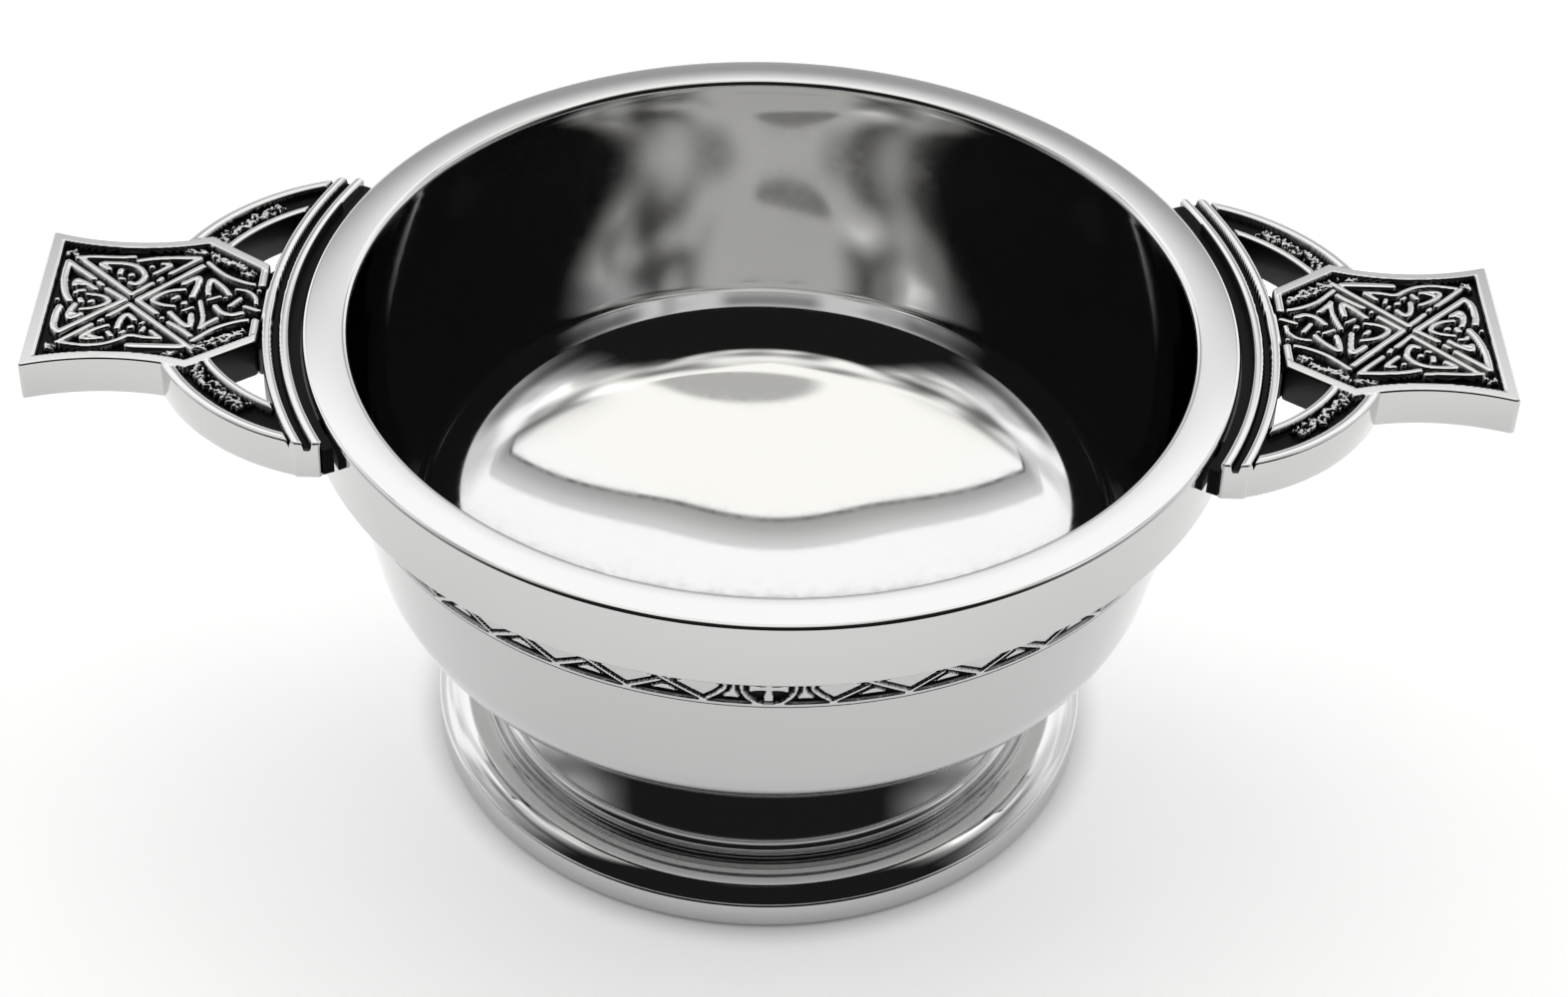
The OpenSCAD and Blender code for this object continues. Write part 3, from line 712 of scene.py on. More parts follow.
class LugRelief:
    """Plan and relief of the right lug, in millimetres."""

    # The grid starts under the collar, reaches to both sides of the lug and ends past it
    plan_start, plan_half, plan_margin = 39.0, 23.0, 0.4
    # The knotwork is drawn round a saltire at this distance from the axis, and then moved
    drawn_saltire = 61.7
    # Strands are drawn a little too narrow, and have an almost flat top
    strand_gain, strand_crown = 0.08, 0.04
    # Strokes of the stipple, which change nothing beyond their reach
    stroke_height, stroke_width, stroke_crown, stroke_wall, stroke_reach = 0.92, 0.34, 0.3, 0.22, 1.2
    # Width of the groove beside the ring's edges and the ridges
    moat = 0.3
    # Blackening on the sheltered walls, and how far past the ring's inside they count as such
    wall_patina, wall_margin = 0.9, 0.35
    # Root beside the collar: reach inwards and outwards, rise over the underside, drop under the top
    root_in, root_out, root_rise, root_drop = 1.0, 0.1, 0.3, 0.95

    def __init__(self, sizes, rim_height):
        self.top = rim_height
        for name in ("end", "end_half", "underside", "shoulder", "shoulder_half", "side_hollow",
                     "neck", "neck_half", "ridge_inner", "ridge_width", "ridge_groove",
                     "halo_centre", "halo_radius", "halo_width", "halo_edge", "halo_inner",
                     "border", "end_border", "relief", "edge_round", "saltire", "grid"):
            setattr(self, name, mm(getattr(sizes, name)))
        self.spine_half = self.ridge_inner * math.sin(sizes.spine_angle)
        self.root_angle = sizes.root_angle
        self.ridge_1 = self.ridge_inner + self.ridge_width / 2
        self.groove_out = self.ridge_inner + self.ridge_width + self.ridge_groove
        self.ridge_2 = self.groove_out + self.ridge_width / 2
        self.spine_out = self.groove_out + self.ridge_width
        chord = math.hypot(self.end - self.shoulder, self.end_half - self.shoulder_half)
        self.side_r = chord * chord / (8 * self.side_hollow) + self.side_hollow / 2
        shoulder, end = (self.shoulder, self.shoulder_half), (self.end, self.end_half)
        self.side_at = arc_centre(shoulder, end, self.side_r)
        slope = Vector((self.shoulder - self.neck, self.shoulder_half - self.neck_half)).normalized()
        self.slant = (-slope.y, slope.x)
        self.grains = self.scatter()

    def arm(self, x, y):
        """Signed distance of the cross arm's outline, negative inside."""
        y = np.abs(y)
        side = self.side_r - np.hypot(x - self.side_at[0], y - self.side_at[1])
        slanted = (x - self.neck) * self.slant[0] + (y - self.neck_half) * self.slant[1]
        neck = np.maximum(y - self.neck_half, x - self.neck)
        body = np.maximum(np.maximum(side, slanted), np.maximum(x - self.end, self.neck - x))
        return np.minimum(body, np.maximum(neck, self.groove_out - np.hypot(x, y)))

    def halo(self, x, y):
        """Signed distance of the ring round the cross."""
        middle = self.halo_radius - self.halo_width / 2
        ring = np.abs(np.hypot(x - self.halo_centre, y) - middle) - self.halo_width / 2
        return np.maximum(ring, self.groove_out - np.hypot(x, y))

    def spine(self, x, y):
        """Signed distance of the double ridge that follows the rim."""
        r = np.hypot(x, y)
        middle = (self.ridge_inner + self.spine_out) / 2
        ring = np.abs(r - middle) - (self.spine_out - self.ridge_inner) / 2
        return np.maximum(ring, np.abs(y) - self.spine_half)

    def outline(self, x, y):
        """Signed distance of the whole lug."""
        return np.minimum.reduce([self.arm(x, y), self.halo(x, y), self.spine(x, y)])

    def scatter(self):
        """Short strokes of the stipple: in the ring, beside the claws and in the arm's corners."""
        draw = random.Random(11)
        spots = []
        for side in (-1, 1):
            for i in range(64):
                turn = math.radians(27.5 + 28.0 * (i + draw.random()) / 64)
                r = self.halo_radius - 2.6 + draw.uniform(-0.65, 0.6)
                spots.append((self.halo_centre + r * math.cos(turn), side * r * math.sin(turn)))
            for i in range(46):
                t = (i + draw.random()) / 46
                spots.append((50.3 + 4.5 * t, side * (4.6 + 2.9 * t + draw.uniform(-0.6, 0.6))))
            for _ in range(10):
                spots.append((draw.uniform(55.0, 57.4), side * draw.uniform(7.75, 8.4)))
            for _ in range(6):
                spots.append((draw.uniform(67.8, 68.8), side * draw.uniform(7.1, 7.9)))
        return [(at, draw.uniform(0.0, math.pi), draw.uniform(0.08, 0.3)) for at in spots]

    def knotwork(self):
        """Strands of the arm's knotwork as (width, points), on the four sides of the saltire."""
        back = [
            (0.6, [(61.65, 0.8), (55.05, 7.35)]),
            (0.75, [(55.95, 7.2), (58.0, 7.25), (60.9, 7.2)]),
            (0.52, [(58.1, 6.0), (59.5, 5.95), (61.0, 5.7), (62.0, 6.4), (63.3, 7.1), (65.1, 7.35),
                    (67.2, 7.05)]),
            (0.5, [(58.1, 5.9), (58.6, 5.4), (59.05, 4.95)]),
            (0.5, [(67.6, 6.95), (64.8, 4.1)]),
            (0.45, [(63.9, 3.3), (64.15, 3.6)]),
            (0.5, [(61.65, 0.8), (63.45, 2.7)]),
            (0.58, [(60.85, 3.2), (61.55, 2.45), (62.15, 3.1), (62.35, 4.5)]),
            (0.55, [(60.95, 4.3), (61.15, 4.4)]),
            (0.45, [(59.8, 4.4), (60.0, 4.95)]),
            (0.36, [(59.95, 3.55), (60.2, 3.85)]),
            (0.42, [(61.6, 5.05), (61.9, 5.35)]),
            (0.55, [(62.7, 5.75), (63.05, 5.25)]),
            (0.5, [(63.55, 6.15), (65.0, 6.35), (65.45, 6.0), (64.5, 4.95), (63.25, 4.2)]),
            (0.5, [(64.1, 6.1), (64.9, 5.75)]),
        ]
        right = [
            (0.62, [(62.25, 0.1), (67.7, 5.3)]),
            (0.7, [(67.75, 5.3), (68.3, 4.5), (68.45, 2.8), (68.25, 1.4)]),
            (0.6, [(62.25, 0.0), (64.15, -1.55)]),
            (0.5, [(64.7, -2.2), (65.1, -2.6)]),
            (0.62, [(65.65, -3.2), (68.45, -5.85)]),
            (0.72, [(67.5, 0.3), (68.05, -0.95), (68.45, -2.75), (68.55, -4.5), (68.5, -5.85)]),
            (0.58, [(66.05, 2.5), (66.9, 3.15), (67.2, 2.8), (67.15, 1.85), (66.85, 1.0)]),
            (0.5, [(66.6, 2.55), (67.05, 2.3)]),
            (0.5, [(66.15, 1.75), (65.0, 1.5), (64.0, 0.85), (63.75, 0.15), (64.45, -0.4),
                   (65.85, -0.65)]),
            (0.58, [(65.3, 0.4), (65.45, 0.5)]),
            (0.6, [(66.3, 0.5), (66.45, 0.15)]),
            (0.5, [(66.3, -1.25), (66.85, -1.15), (67.1, -0.85)]),
            (0.6, [(65.25, -1.55), (66.2, -2.35), (67.2, -2.85), (67.35, -2.1)]),
            (0.5, [(66.5, -2.2), (67.1, -2.3)]),
            (0.4, [(68.6, 0.2), (68.7, 0.3)]),
        ]
        front = [
            (0.5, [(61.7, -0.8), (59.95, -2.65)]),
            (0.5, [(59.4, -3.1), (59.15, -3.5)]),
            (0.5, [(58.45, -4.25), (55.85, -6.9)]),
            (0.62, [(55.95, -6.95), (58.4, -6.85), (60.2, -6.65), (61.7, -6.25)]),
            (0.5, [(59.95, -4.2), (58.6, -5.65), (59.35, -5.8)]),
            (0.5, [(60.3, -5.35), (60.4, -5.3)]),
            (0.6, [(62.1, -2.65), (61.5, -2.45), (61.0, -3.15), (60.85, -4.05), (61.45, -5.05),
                   (62.5, -5.6), (64.1, -5.75), (65.25, -5.6), (64.45, -4.85)]),
            (0.58, [(62.1, -3.95), (62.2, -3.9)]),
            (0.5, [(62.85, -3.25), (63.1, -3.3)]),
            (0.58, [(63.3, -4.15), (63.25, -4.7)]),
            (0.6, [(61.7, -0.8), (66.85, -5.95)]),
            (0.55, [(62.25, -6.85), (64.0, -6.7), (66.0, -6.75), (67.7, -6.55)]),
            (0.5, [(66.8, -5.95), (67.4, -6.5)]),
        ]
        left = [
            (0.58, [(54.75, 6.1), (56.0, 4.8), (57.55, 3.55)]),
            (0.45, [(58.25, 2.8), (58.35, 2.9)]),
            (0.6, [(58.95, 2.05), (61.0, 0.1)]),
            (0.6, [(61.0, 0.05), (55.05, -6.05)]),
            (0.6, [(55.6, 2.2), (55.55, 3.95), (56.25, 3.65), (57.65, 1.95)]),
            (0.4, [(55.65, 1.05), (56.5, 1.65)]),
            (0.6, [(56.45, 0.3), (56.55, 0.45)]),
            (0.5, [(57.25, -0.65), (57.65, -0.25)]),
            (0.52, [(57.45, 0.95), (58.6, 0.75), (59.6, 0.05), (58.85, -0.95), (57.9, -1.5),
                    (56.75, -1.75)]),
            (0.6, [(55.9, -0.7), (55.6, -2.65), (55.65, -3.75), (56.95, -2.7)]),
        ]
        neck = [
            (0.52, [(49.4, 1.3), (50.65, 0.75)]),
            (0.62, [(50.85, 1.75), (51.75, 2.1), (52.75, 1.75), (53.5, 0.75)]),
            (0.5, [(52.1, 0.65), (51.25, -0.55)]),
            (0.45, [(49.65, 0.2), (49.85, -0.85), (50.65, -1.7), (51.75, -1.95)]),
            (0.4, [(49.55, -1.85), (49.65, -1.9)]),
            (0.46, [(53.25, -0.75), (54.25, -0.2)]),
            (0.36, [(52.65, -0.6), (52.75, -0.55)]),
            (0.56, [(52.35, -1.15), (53.05, -2.25), (54.3, -3.45), (54.55, -2.45), (54.4, -1.15)]),
            (0.5, [(53.15, 2.7), (54.05, 3.65), (54.5, 4.3)]),
            (0.5, [(54.5, 4.3), (54.45, 2.5), (55.0, 0.05)]),
        ]
        return [(width, eased(points)) for width, points in back + right + front + left + neck]

    def level(self, x, y):
        """Level of the whole lug's relief."""
        r = np.hypot(x, y)
        arm, halo = self.arm(x, y), self.halo(x, y)
        level = np.zeros(x.shape)
        # Stipple on the sunk ground
        for (sx, sy), turn, reach in self.grains:
            near = np.maximum(np.abs(x - sx), np.abs(y - sy)) < self.stroke_reach
            if near.any():
                dx, dy = reach * math.cos(turn), reach * math.sin(turn)
                d = path_distance(x[near], y[near], [(sx - dx, sy - dy), (sx + dx, sy + dy)])
                stroke = raised(d, self.stroke_width, self.stroke_crown, self.stroke_wall)
                level[near] = np.maximum(level[near], self.stroke_height * stroke)
        # Raised edges of the ring
        from_halo = np.hypot(x - self.halo_centre, y)
        outer = self.halo_radius - self.halo_edge / 2
        inner = self.halo_radius - self.halo_width + self.halo_inner / 2
        beside = (halo < 0.0) & (arm > 0.0)
        for middle, width in ((outer, self.halo_edge), (inner, self.halo_inner)):
            edged = lay(level, np.abs(from_halo - middle), width, self.moat, 1.0)
            level = np.where(beside, edged, level)
        # Border of the arm and the knotwork inside it
        in_arm = arm < 0.0
        work = np.zeros(x.shape)
        work[in_arm] = self.arm_level(x[in_arm], y[in_arm], level[in_arm])
        level = np.where(in_arm, work, level)
        # Ridges of the spine lie over everything
        for middle in (self.ridge_2, self.ridge_1):
            level = lay(level, np.abs(r - middle), self.ridge_width, self.moat, 1.0)
        return level

    def arm_level(self, x, y, level):
        """Level inside the cross arm."""
        shift = self.saltire - self.drawn_saltire
        for width, path in self.knotwork():
            near = path_distance(x - shift, y, path)
            level = np.maximum(level, raised(near, width + self.strand_gain, self.strand_crown))
        # Claws from the neck's corners to the saltire
        ay = np.abs(y)
        claw = eased([(49.4, 2.8), (50.5, 2.95), (52.0, 3.6), (53.2, 4.4), (54.15, 5.4), (54.9, 6.25)])
        level = lay(level, path_distance(x, ay, claw), 0.64, 0.25, 1.0)
        level = lay(level, path_distance(x, ay, [(49.4, 2.8), (49.4, 6.2)]), 0.7, 0.25, 1.0)
        # Border: inside distance from the sides, the slanted edges and the end
        side = np.hypot(x - self.side_at[0], ay - self.side_at[1]) - self.side_r
        slanted = -((x - self.neck) * self.slant[0] + (ay - self.neck_half) * self.slant[1])
        edge = np.minimum(np.where(x > self.shoulder - 3.0, side, FAR), slanted)
        for border, inwards in ((self.border, edge), (self.end_border, self.end - x)):
            rim = 1.0 - smooth_step(border - 0.08, border + 0.1, inwards)
            level = np.maximum(level, rim * (x > self.neck - 0.1))
        return level

    def place(self, x, y):
        """Position of each point of the top face."""
        return np.stack([x, y, self.top - self.relief * (1.0 - self.level(x, y))], axis=1)

    def outwards(self, x, y):
        """Level direction that leaves the lug at a point of its edge."""
        step = 0.02
        dx = self.outline(x + step, y) - self.outline(x - step, y)
        dy = self.outline(x, y + step) - self.outline(x, y - step)
        size = np.hypot(dx, dy) + 1e-9
        return dx / size, dy / size

    def surface(self, name):
        """The casting: relief on top, plain sides and a flat underside."""
        xs = np.arange(self.plan_start, self.end + self.plan_margin, self.grid)
        ys = np.arange(-self.plan_half, self.plan_half + self.grid, self.grid)
        r = self.edge_round
        mesh = field_mesh(name, xs, ys, lambda x, y: self.outline(x, y) + r, self.place,
                          lambda x, y: darkness(self.level(x, y)))
        work = bmesh.new()
        work.from_mesh(mesh)
        patina = work.verts.layers.float["patina"]
        self.add_walls(work, patina)
        self.add_root(work, patina)
        bmesh.ops.recalc_face_normals(work, faces=work.faces)
        work.to_mesh(mesh)
        work.free()
        return mesh

    def add_walls(self, work, patina):
        """Rounded upper edge, sides and underside, drawn out row by row from the edge of the relief."""
        r, low = self.edge_round, self.underside
        # Rows as (step outwards, fall from the row before) over the rounded edge, then at set heights
        turns = [math.radians(a) for a in (22.5, 45.0, 67.5, 90.0)]
        over = [(r * (math.sin(b) - math.sin(a)), r * (math.cos(a) - math.cos(b)))
                for a, b in zip([0.0] + turns, turns)]
        under = [(0.0, low + r), (-0.3 * r, low + 0.3 * r), (-0.7 * r, low)]
        open_edges = [e for e in work.edges if e.is_boundary]
        for row, (step, fall) in enumerate(over + under):
            open_edges, rim = draw_out(work, open_edges)
            if row == 0:
                plan = np.array([v.co.xy for v in rim]) / MM
                away = dict(zip(rim, zip(*self.outwards(plan[:, 0], plan[:, 1]))))
            else:
                away = {v: away[self.above(v, away)] for v in rim}
            # The walls of the openings and the one beside the collar are left black
            inner = {v: self.wall_patina for v in rim if self.sheltered(*v.co.xy)}
            for vert in rim:
                vert.co.x += away[vert][0] * step * MM
                vert.co.y += away[vert][1] * step * MM
                vert.co.z = vert.co.z - fall * MM if row < len(over) else fall * MM
                if row > 0:
                    vert[patina] = inner.get(vert, 0.0)
        bmesh.ops.triangle_fill(work, use_beauty=True, edges=open_edges)

    def sheltered(self, x, y):
        """Whether a point of the edge, in metres, lies inside the ring round the cross."""
        inside = self.halo_radius - self.halo_width + self.wall_margin
        return math.hypot(x / MM - self.halo_centre, y / MM) < inside

    @staticmethod
    def above(vert, known):
        """The vertex of the row before, which this one was drawn from."""
        return next(e.other_vert(vert) for e in vert.link_edges if e.other_vert(vert) in known)

    def add_root(self, work, patina):
        """The sunk root that the solder holds to the collar."""
        inner, outer = self.ridge_inner - self.root_in, self.ridge_inner + self.root_out
        low, high = self.underside + self.root_rise, self.top - self.root_drop
        rings = []
        steps = 24
        for i in range(steps + 1):
            a = self.root_angle * (2 * i / steps - 1)
            ring = []
            for radius, z in ((inner, low), (outer, low), (outer, high), (inner, high)):
                vert = work.verts.new((radius * math.cos(a) * MM, radius * math.sin(a) * MM, z * MM))
                vert[patina] = 1.0
                ring.append(vert)
            rings.append(ring)
        for first, second in zip(rings, rings[1:]):
            for k in range(4):
                work.faces.new((first[k], first[(k + 1) % 4], second[(k + 1) % 4], second[k]))
        work.faces.new(rings[0])
        work.faces.new(rings[-1][::-1])


# Finishes

def noise(nodes, links, scale, detail=3.0):
    """A noise pattern on Object coordinates."""
    place = nodes.new("ShaderNodeTexCoord")
    texture = nodes.new("ShaderNodeTexNoise")
    texture.inputs["Scale"].default_value = scale
    texture.inputs["Detail"].default_value = detail
    links.new(place.outputs["Object"], texture.inputs["Vector"])
    return texture.outputs["Fac"]


def ramp(nodes, links, value, low, high):
    """Maps the middle of a 0 to 1 pattern to a range."""
    span = nodes.new("ShaderNodeMapRange")
    span.inputs["From Min"].default_value = 0.3
    span.inputs["From Max"].default_value = 0.7
    span.inputs["To Min"].default_value = low
    span.inputs["To Max"].default_value = high
    links.new(value, span.inputs["Value"])
    return span.outputs["Result"]


def mix(nodes, links, factor, first, second):
    """Mixes two colours, each a socket or a plain colour."""
    node = nodes.new("ShaderNodeMix")
    node.data_type = "RGBA"
    links.new(factor, node.inputs[0])
    for socket, value in ((node.inputs[6], first), (node.inputs[7], second)):
        if isinstance(value, bpy.types.NodeSocket):
            links.new(value, socket)
        else:
            socket.default_value = (*value, 1.0)
    return node.outputs[2]


def metal(name):
    """A metallic material and its node tree."""
    material = bpy.data.materials.new(name)
    material.use_nodes = True
    nodes, links = material.node_tree.nodes, material.node_tree.links
    shader = nodes["Principled BSDF"]
    shader.inputs["Metallic"].default_value = 1.0
    return material, nodes, links, shader


def buffed(nodes, links, pewter):
    """Colour and roughness of polished pewter: faint clouding and fine buffing marks."""
    cloud_scale, marks_scale = 60.0, 900.0
    cloud = noise(nodes, links, cloud_scale)
    darker = tuple(0.965 * c for c in pewter)
    tone = mix(nodes, links, cloud, darker, pewter)
    marks = noise(nodes, links, marks_scale, 2.0)
    return tone, ramp(nodes, links, marks, 0.035, 0.065)


def buffed_pewter(colours):
    """Mirror-polished pewter."""
    material, nodes, links, shader = metal("buffed_pewter")
    tone, rough = buffed(nodes, links, tuple(colours.pewter))
    links.new(tone, shader.inputs["Base Color"])
    links.new(rough, shader.inputs["Roughness"])
    return material


def patinated_pewter(colours):
    """Pewter that is polished where raised and blackened where the patina attribute says so."""
    dull_roughness = 0.42
    material, nodes, links, shader = metal("patinated_pewter")
    tone, rough = buffed(nodes, links, tuple(colours.pewter))
    left = nodes.new("ShaderNodeAttribute")
    left.attribute_name = "patina"
    black = mix(nodes, links, left.outputs["Fac"], tone, tuple(colours.blackening))
    dull = nodes.new("ShaderNodeMix")
    links.new(left.outputs["Fac"], dull.inputs[0])
    links.new(rough, dull.inputs[2])
    dull.inputs[3].default_value = dull_roughness
    links.new(black, shader.inputs["Base Color"])
    links.new(dull.outputs[0], shader.inputs["Roughness"])
    return material


def dull_solder(colours):
    """Solder as it sets: dull and stained."""
    stain_scale = 700.0
    material, nodes, links, shader = metal("dull_solder")
    stain = noise(nodes, links, stain_scale)
    deep = tuple(0.35 * c for c in colours.solder)
    links.new(mix(nodes, links, stain, deep, tuple(colours.solder)), shader.inputs["Base Color"])
    links.new(ramp(nodes, links, stain, 0.3, 0.5), shader.inputs["Roughness"])
    return material


def white_table(colours):
    """Matt table that takes the cup's shadow and shows white to the camera and in the metal, with a painted
    contact shadow in its glow round the foot.
    """
    glow_share = 0.52
    # Reach of the painted contact shadow, in metres
    painted_shadow_distance = 0.003
    material = bpy.data.materials.new("white_table")
    material.use_nodes = True
    nodes, links = material.node_tree.nodes, material.node_tree.links
    nodes.clear()
    matt = nodes.new("ShaderNodeBsdfDiffuse")
    matt.inputs["Color"].default_value = (*colours.table, 1.0)
    glow = nodes.new("ShaderNodeEmission")
    ray = nodes.new("ShaderNodeLightPath")
    seen = maths(nodes, links, "MAXIMUM", ray.outputs["Is Camera Ray"], ray.outputs["Is Glossy Ray"])
    seen = maths(nodes, links, "MAXIMUM", seen, ray.outputs["Is Transmission Ray"])
    share = maths(nodes, links, "MULTIPLY", seen, glow_share)
    # Painted contact shadow: ambient occlusion dims the glow where the foot touches the table, so the table
    # and its reflection in the foot darken there
    near = nodes.new("ShaderNodeAmbientOcclusion")
    near.inputs["Distance"].default_value = painted_shadow_distance
    strength = maths(nodes, links, "MULTIPLY", share, near.outputs["AO"])
    links.new(strength, glow.inputs["Strength"])
    both = nodes.new("ShaderNodeAddShader")
    links.new(matt.outputs["BSDF"], both.inputs[0])
    links.new(glow.outputs["Emission"], both.inputs[1])
    out = nodes.new("ShaderNodeOutputMaterial")
    links.new(both.outputs["Shader"], out.inputs["Surface"])
    return material


def finish(name, maker, colours):
    """The named material, made on first use."""
    return bpy.data.materials.get(name) or maker(colours)


def settle(piece, slot, *nodes):
    """A finished piece rides on the only body and stands for its CAD nodes, which are hidden; the slot it
    is given is not used.
    """
    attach(piece, "root")
    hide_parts(*nodes)


# Room

class Room:
    """Brightness of the room round the cup by direction, in a world's node tree.

    Heights are in degrees above the table, and turns in degrees to either side of straight behind
    the cup.
    """

    darkest = 0.015
    screen_level = 1.5
    white, warm_white = (1.0, 1.0, 1.0), (1.0, 0.991, 0.957)

    def __init__(self, tree):
        self.nodes, self.links = tree.nodes, tree.links
        degree = math.degrees(1.0)
        place = self.nodes.new("ShaderNodeTexCoord")
        parts = self.nodes.new("ShaderNodeSeparateXYZ")
        self.way = place.outputs["Generated"]
        self.links.new(self.way, parts.inputs["Vector"])
        self.x, self.y = parts.outputs["X"], parts.outputs["Y"]
        self.height = self.product(self.compute("ARCSINE", parts.outputs["Z"]), degree)
        self.turn = self.product(self.compute("ARCTAN2", self.x, self.y), degree)

    def compute(self, operation, a, b=0.0):
        """A maths node fed by sockets or plain numbers."""
        return maths(self.nodes, self.links, operation, a, b)

    def step(self, value, low, high, first, last):
        """Eased step from one level to another while a value passes between two marks."""
        node = self.nodes.new("ShaderNodeMapRange")
        node.interpolation_type = "SMOOTHSTEP"
        marks = {"From Min": low, "From Max": high, "To Min": first, "To Max": last}
        for name, number in marks.items():
            node.inputs[name].default_value = number
        self.links.new(value, node.inputs["Value"])
        return node.outputs["Result"]

    def chain(self, operation, terms):
        """One operation over several sockets or plain numbers."""
        result = terms[0]
        for term in terms[1:]:
            result = self.compute(operation, result, term)
        return result

    def total(self, *terms):
        """Sum of several terms."""
        return self.chain("ADD", terms)

    def product(self, *terms):
        """Product of several terms."""
        return self.chain("MULTIPLY", terms)

    def brightness(self):
        """The whole room."""
        height = self.height
        aside = self.compute("ABSOLUTE", self.turn)
        # White sweep, then a soft panel behind the cup
        behind = self.total(self.step(height, 24.0, 31.0, 1.0, 0.52),
                            self.step(height, 32.0, 40.0, 0.0, 1.06))
        # White screens beside them
        screens = self.product(self.step(aside, 20.0, 32.0, 0.0, 1.0),
                               self.step(aside, 62.0, 82.0, 1.0, 0.0),
                               self.step(height, 36.0, 44.0, 1.0, 0.0))
        more = self.product(screens, self.compute("SUBTRACT", self.screen_level, behind))
        # Grey gap between that panel and the one overhead, with a dark line along a waved edge
        wave = self.total(self.step(aside, 0.0, 14.0, 0.0, 0.6), self.step(aside, 13.0, 40.0, 0.0, -5.6))
        edge = self.compute("SUBTRACT", height, wave)
        gap = self.total(self.step(edge, 49.6, 50.2, 0.0, -0.55),
                         self.step(edge, 50.2, 54.4, 0.0, -0.42),
                         self.step(edge, 54.4, 54.8, 0.0, -0.4),
                         self.step(edge, 55.1, 55.6, 0.0, 1.4))
        gap = self.product(gap, self.step(aside, 42.0, 64.0, 1.0, 0.0))
        # Lamp shade under the panel overhead
        across = self.product(self.compute("SUBTRACT", self.x, 0.067), 6.4)
        along = self.product(self.compute("SUBTRACT", self.y, 0.243), 20.0)
        oval = self.total(self.compute("POWER", across, 2.0), self.compute("POWER", along, 2.0))
        level = self.total(behind, more, gap, self.step(oval, 0.6, 1.15, -0.9, 0.0))
        # Soft furniture to both sides
        cloud = self.nodes.new("ShaderNodeTexNoise")
        cloud.inputs["Scale"].default_value = 3.2
        cloud.inputs["Detail"].default_value = 1.0
        self.links.new(self.way, cloud.inputs["Vector"])
        clouded = cloud.outputs["Fac"]
        soft = self.product(self.step(clouded, 0.36, 0.62, 1.0, 0.0),
                            self.step(height, 46.0, 52.0, -0.35, -0.85),
                            self.step(aside, 34.0, 58.0, 0.0, 1.0))
        level = self.product(level, self.total(soft, 1.0))
        # Small lamps among it
        lamps = self.product(self.step(clouded, 0.57, 0.7, 0.0, 1.7),
                             self.step(aside, 38.0, 56.0, 0.0, 1.0),
                             self.step(height, 47.0, 53.0, 0.0, 1.0),
                             self.step(height, 64.0, 72.0, 1.0, 0.0))
        level = self.total(level, lamps)
        # Dark on the camera's side, up to the edge of the panel overhead
        dark = self.product(self.step(aside, 72.0, 126.0, 0.0, -1.0),
                            self.step(height, 70.0, 75.0, 1.0, 0.0))
        level = self.product(level, self.total(dark, 1.0))
        return self.compute("MAXIMUM", level, self.darkest)

    def tint(self):
        """White light behind the cup, a little warmer from overhead."""
        overhead = self.step(self.height, 50.0, 58.0, 0.0, 1.0)
        return mix(self.nodes, self.links, overhead, self.white, self.warm_white)


# Operators

class QUAICH_OT_bowl(bpy.types.Operator):
    """Turn the bowl's shell and its flat-topped collar"""
    bl_idname = "quaich.bowl"
    bl_label = "Bowl and collar"

    def execute(self, context):
        sizes = context.scene.quaich_bowl
        pewter = finish("buffed_pewter", buffed_pewter, context.scene.quaich_colours)
        shell = turned_piece("bowl_shell", bowl_section(sizes), sizes.segments, pewter, closed=False)
        settle(shell, "polished_pewter", "bowl")
        collar = turned_piece("collar_ring", collar_section(sizes), sizes.segments, pewter)
        settle(collar, "polished_pewter", "rim_collar")
        return {"FINISHED"}


class QUAICH_OT_band(bpy.types.Operator):
    """Set the knot band's cells and medallions round the wall"""
    bl_idname = "quaich.band"
    bl_label = "Knot band"

    # Left free behind the band, in millimetres
    clearance = 0.1

    def execute(self, context):
        sizes = context.scene.quaich_bowl
        ornament = BandOrnament(sizes)
        cell_mesh = ornament.patch("band_cell", ornament.cell / 2, ornament.lattice)
        badge_mesh = ornament.patch("band_badge", ornament.medallion_half, ornament.badge)
        cell, badge = new_piece("band_cell", cell_mesh), new_piece("band_badge", badge_mesh)
        black = finish("patinated_pewter", patinated_pewter, context.scene.quaich_colours)
        for pattern in (cell, badge):
            pattern.data.materials.append(black)
        band = new_piece("knot_band_ring", bpy.data.meshes.new("knot_band_ring"))
        tree, ids = band_tree()
        mesh = built(band, tree, {
            ids["Cell"]: cell,
            ids["Medallion"]: badge,
            ids["Cells"]: sizes.band_cells,
            ids["Cell angle"]: ornament.cell_angle,
            ids["Medallion angle"]: sizes.medallion_angle,
            ids["Finish"]: black,
        })
        for pattern in (cell, badge):
            bpy.data.objects.remove(pattern)
        self.back(mesh, ornament.thickness)
        shade(mesh, BAND_SHARP)
        settle(band, "blackened_pewter", "knot_band")
        return {"FINISHED"}

    def back(self, mesh, thickness):
        """Closes the band behind: its open edges go back into the seat."""
        work = bmesh.new()
        work.from_mesh(mesh)
        edges = [e for e in work.edges if e.is_boundary]
        loops, rim = draw_out(work, edges)
        for vert in rim:
            r = math.hypot(vert.co.x, vert.co.y)
            vert.co.xy *= (r - (thickness - self.clearance) * MM) / r
        if len(loops) != len(edges):
            raise RuntimeError("the band's cells don't meet")
        bmesh.ops.bridge_loops(work, edges=loops)
        bmesh.ops.recalc_face_normals(work, faces=work.faces)
        work.to_mesh(mesh)
        work.free()


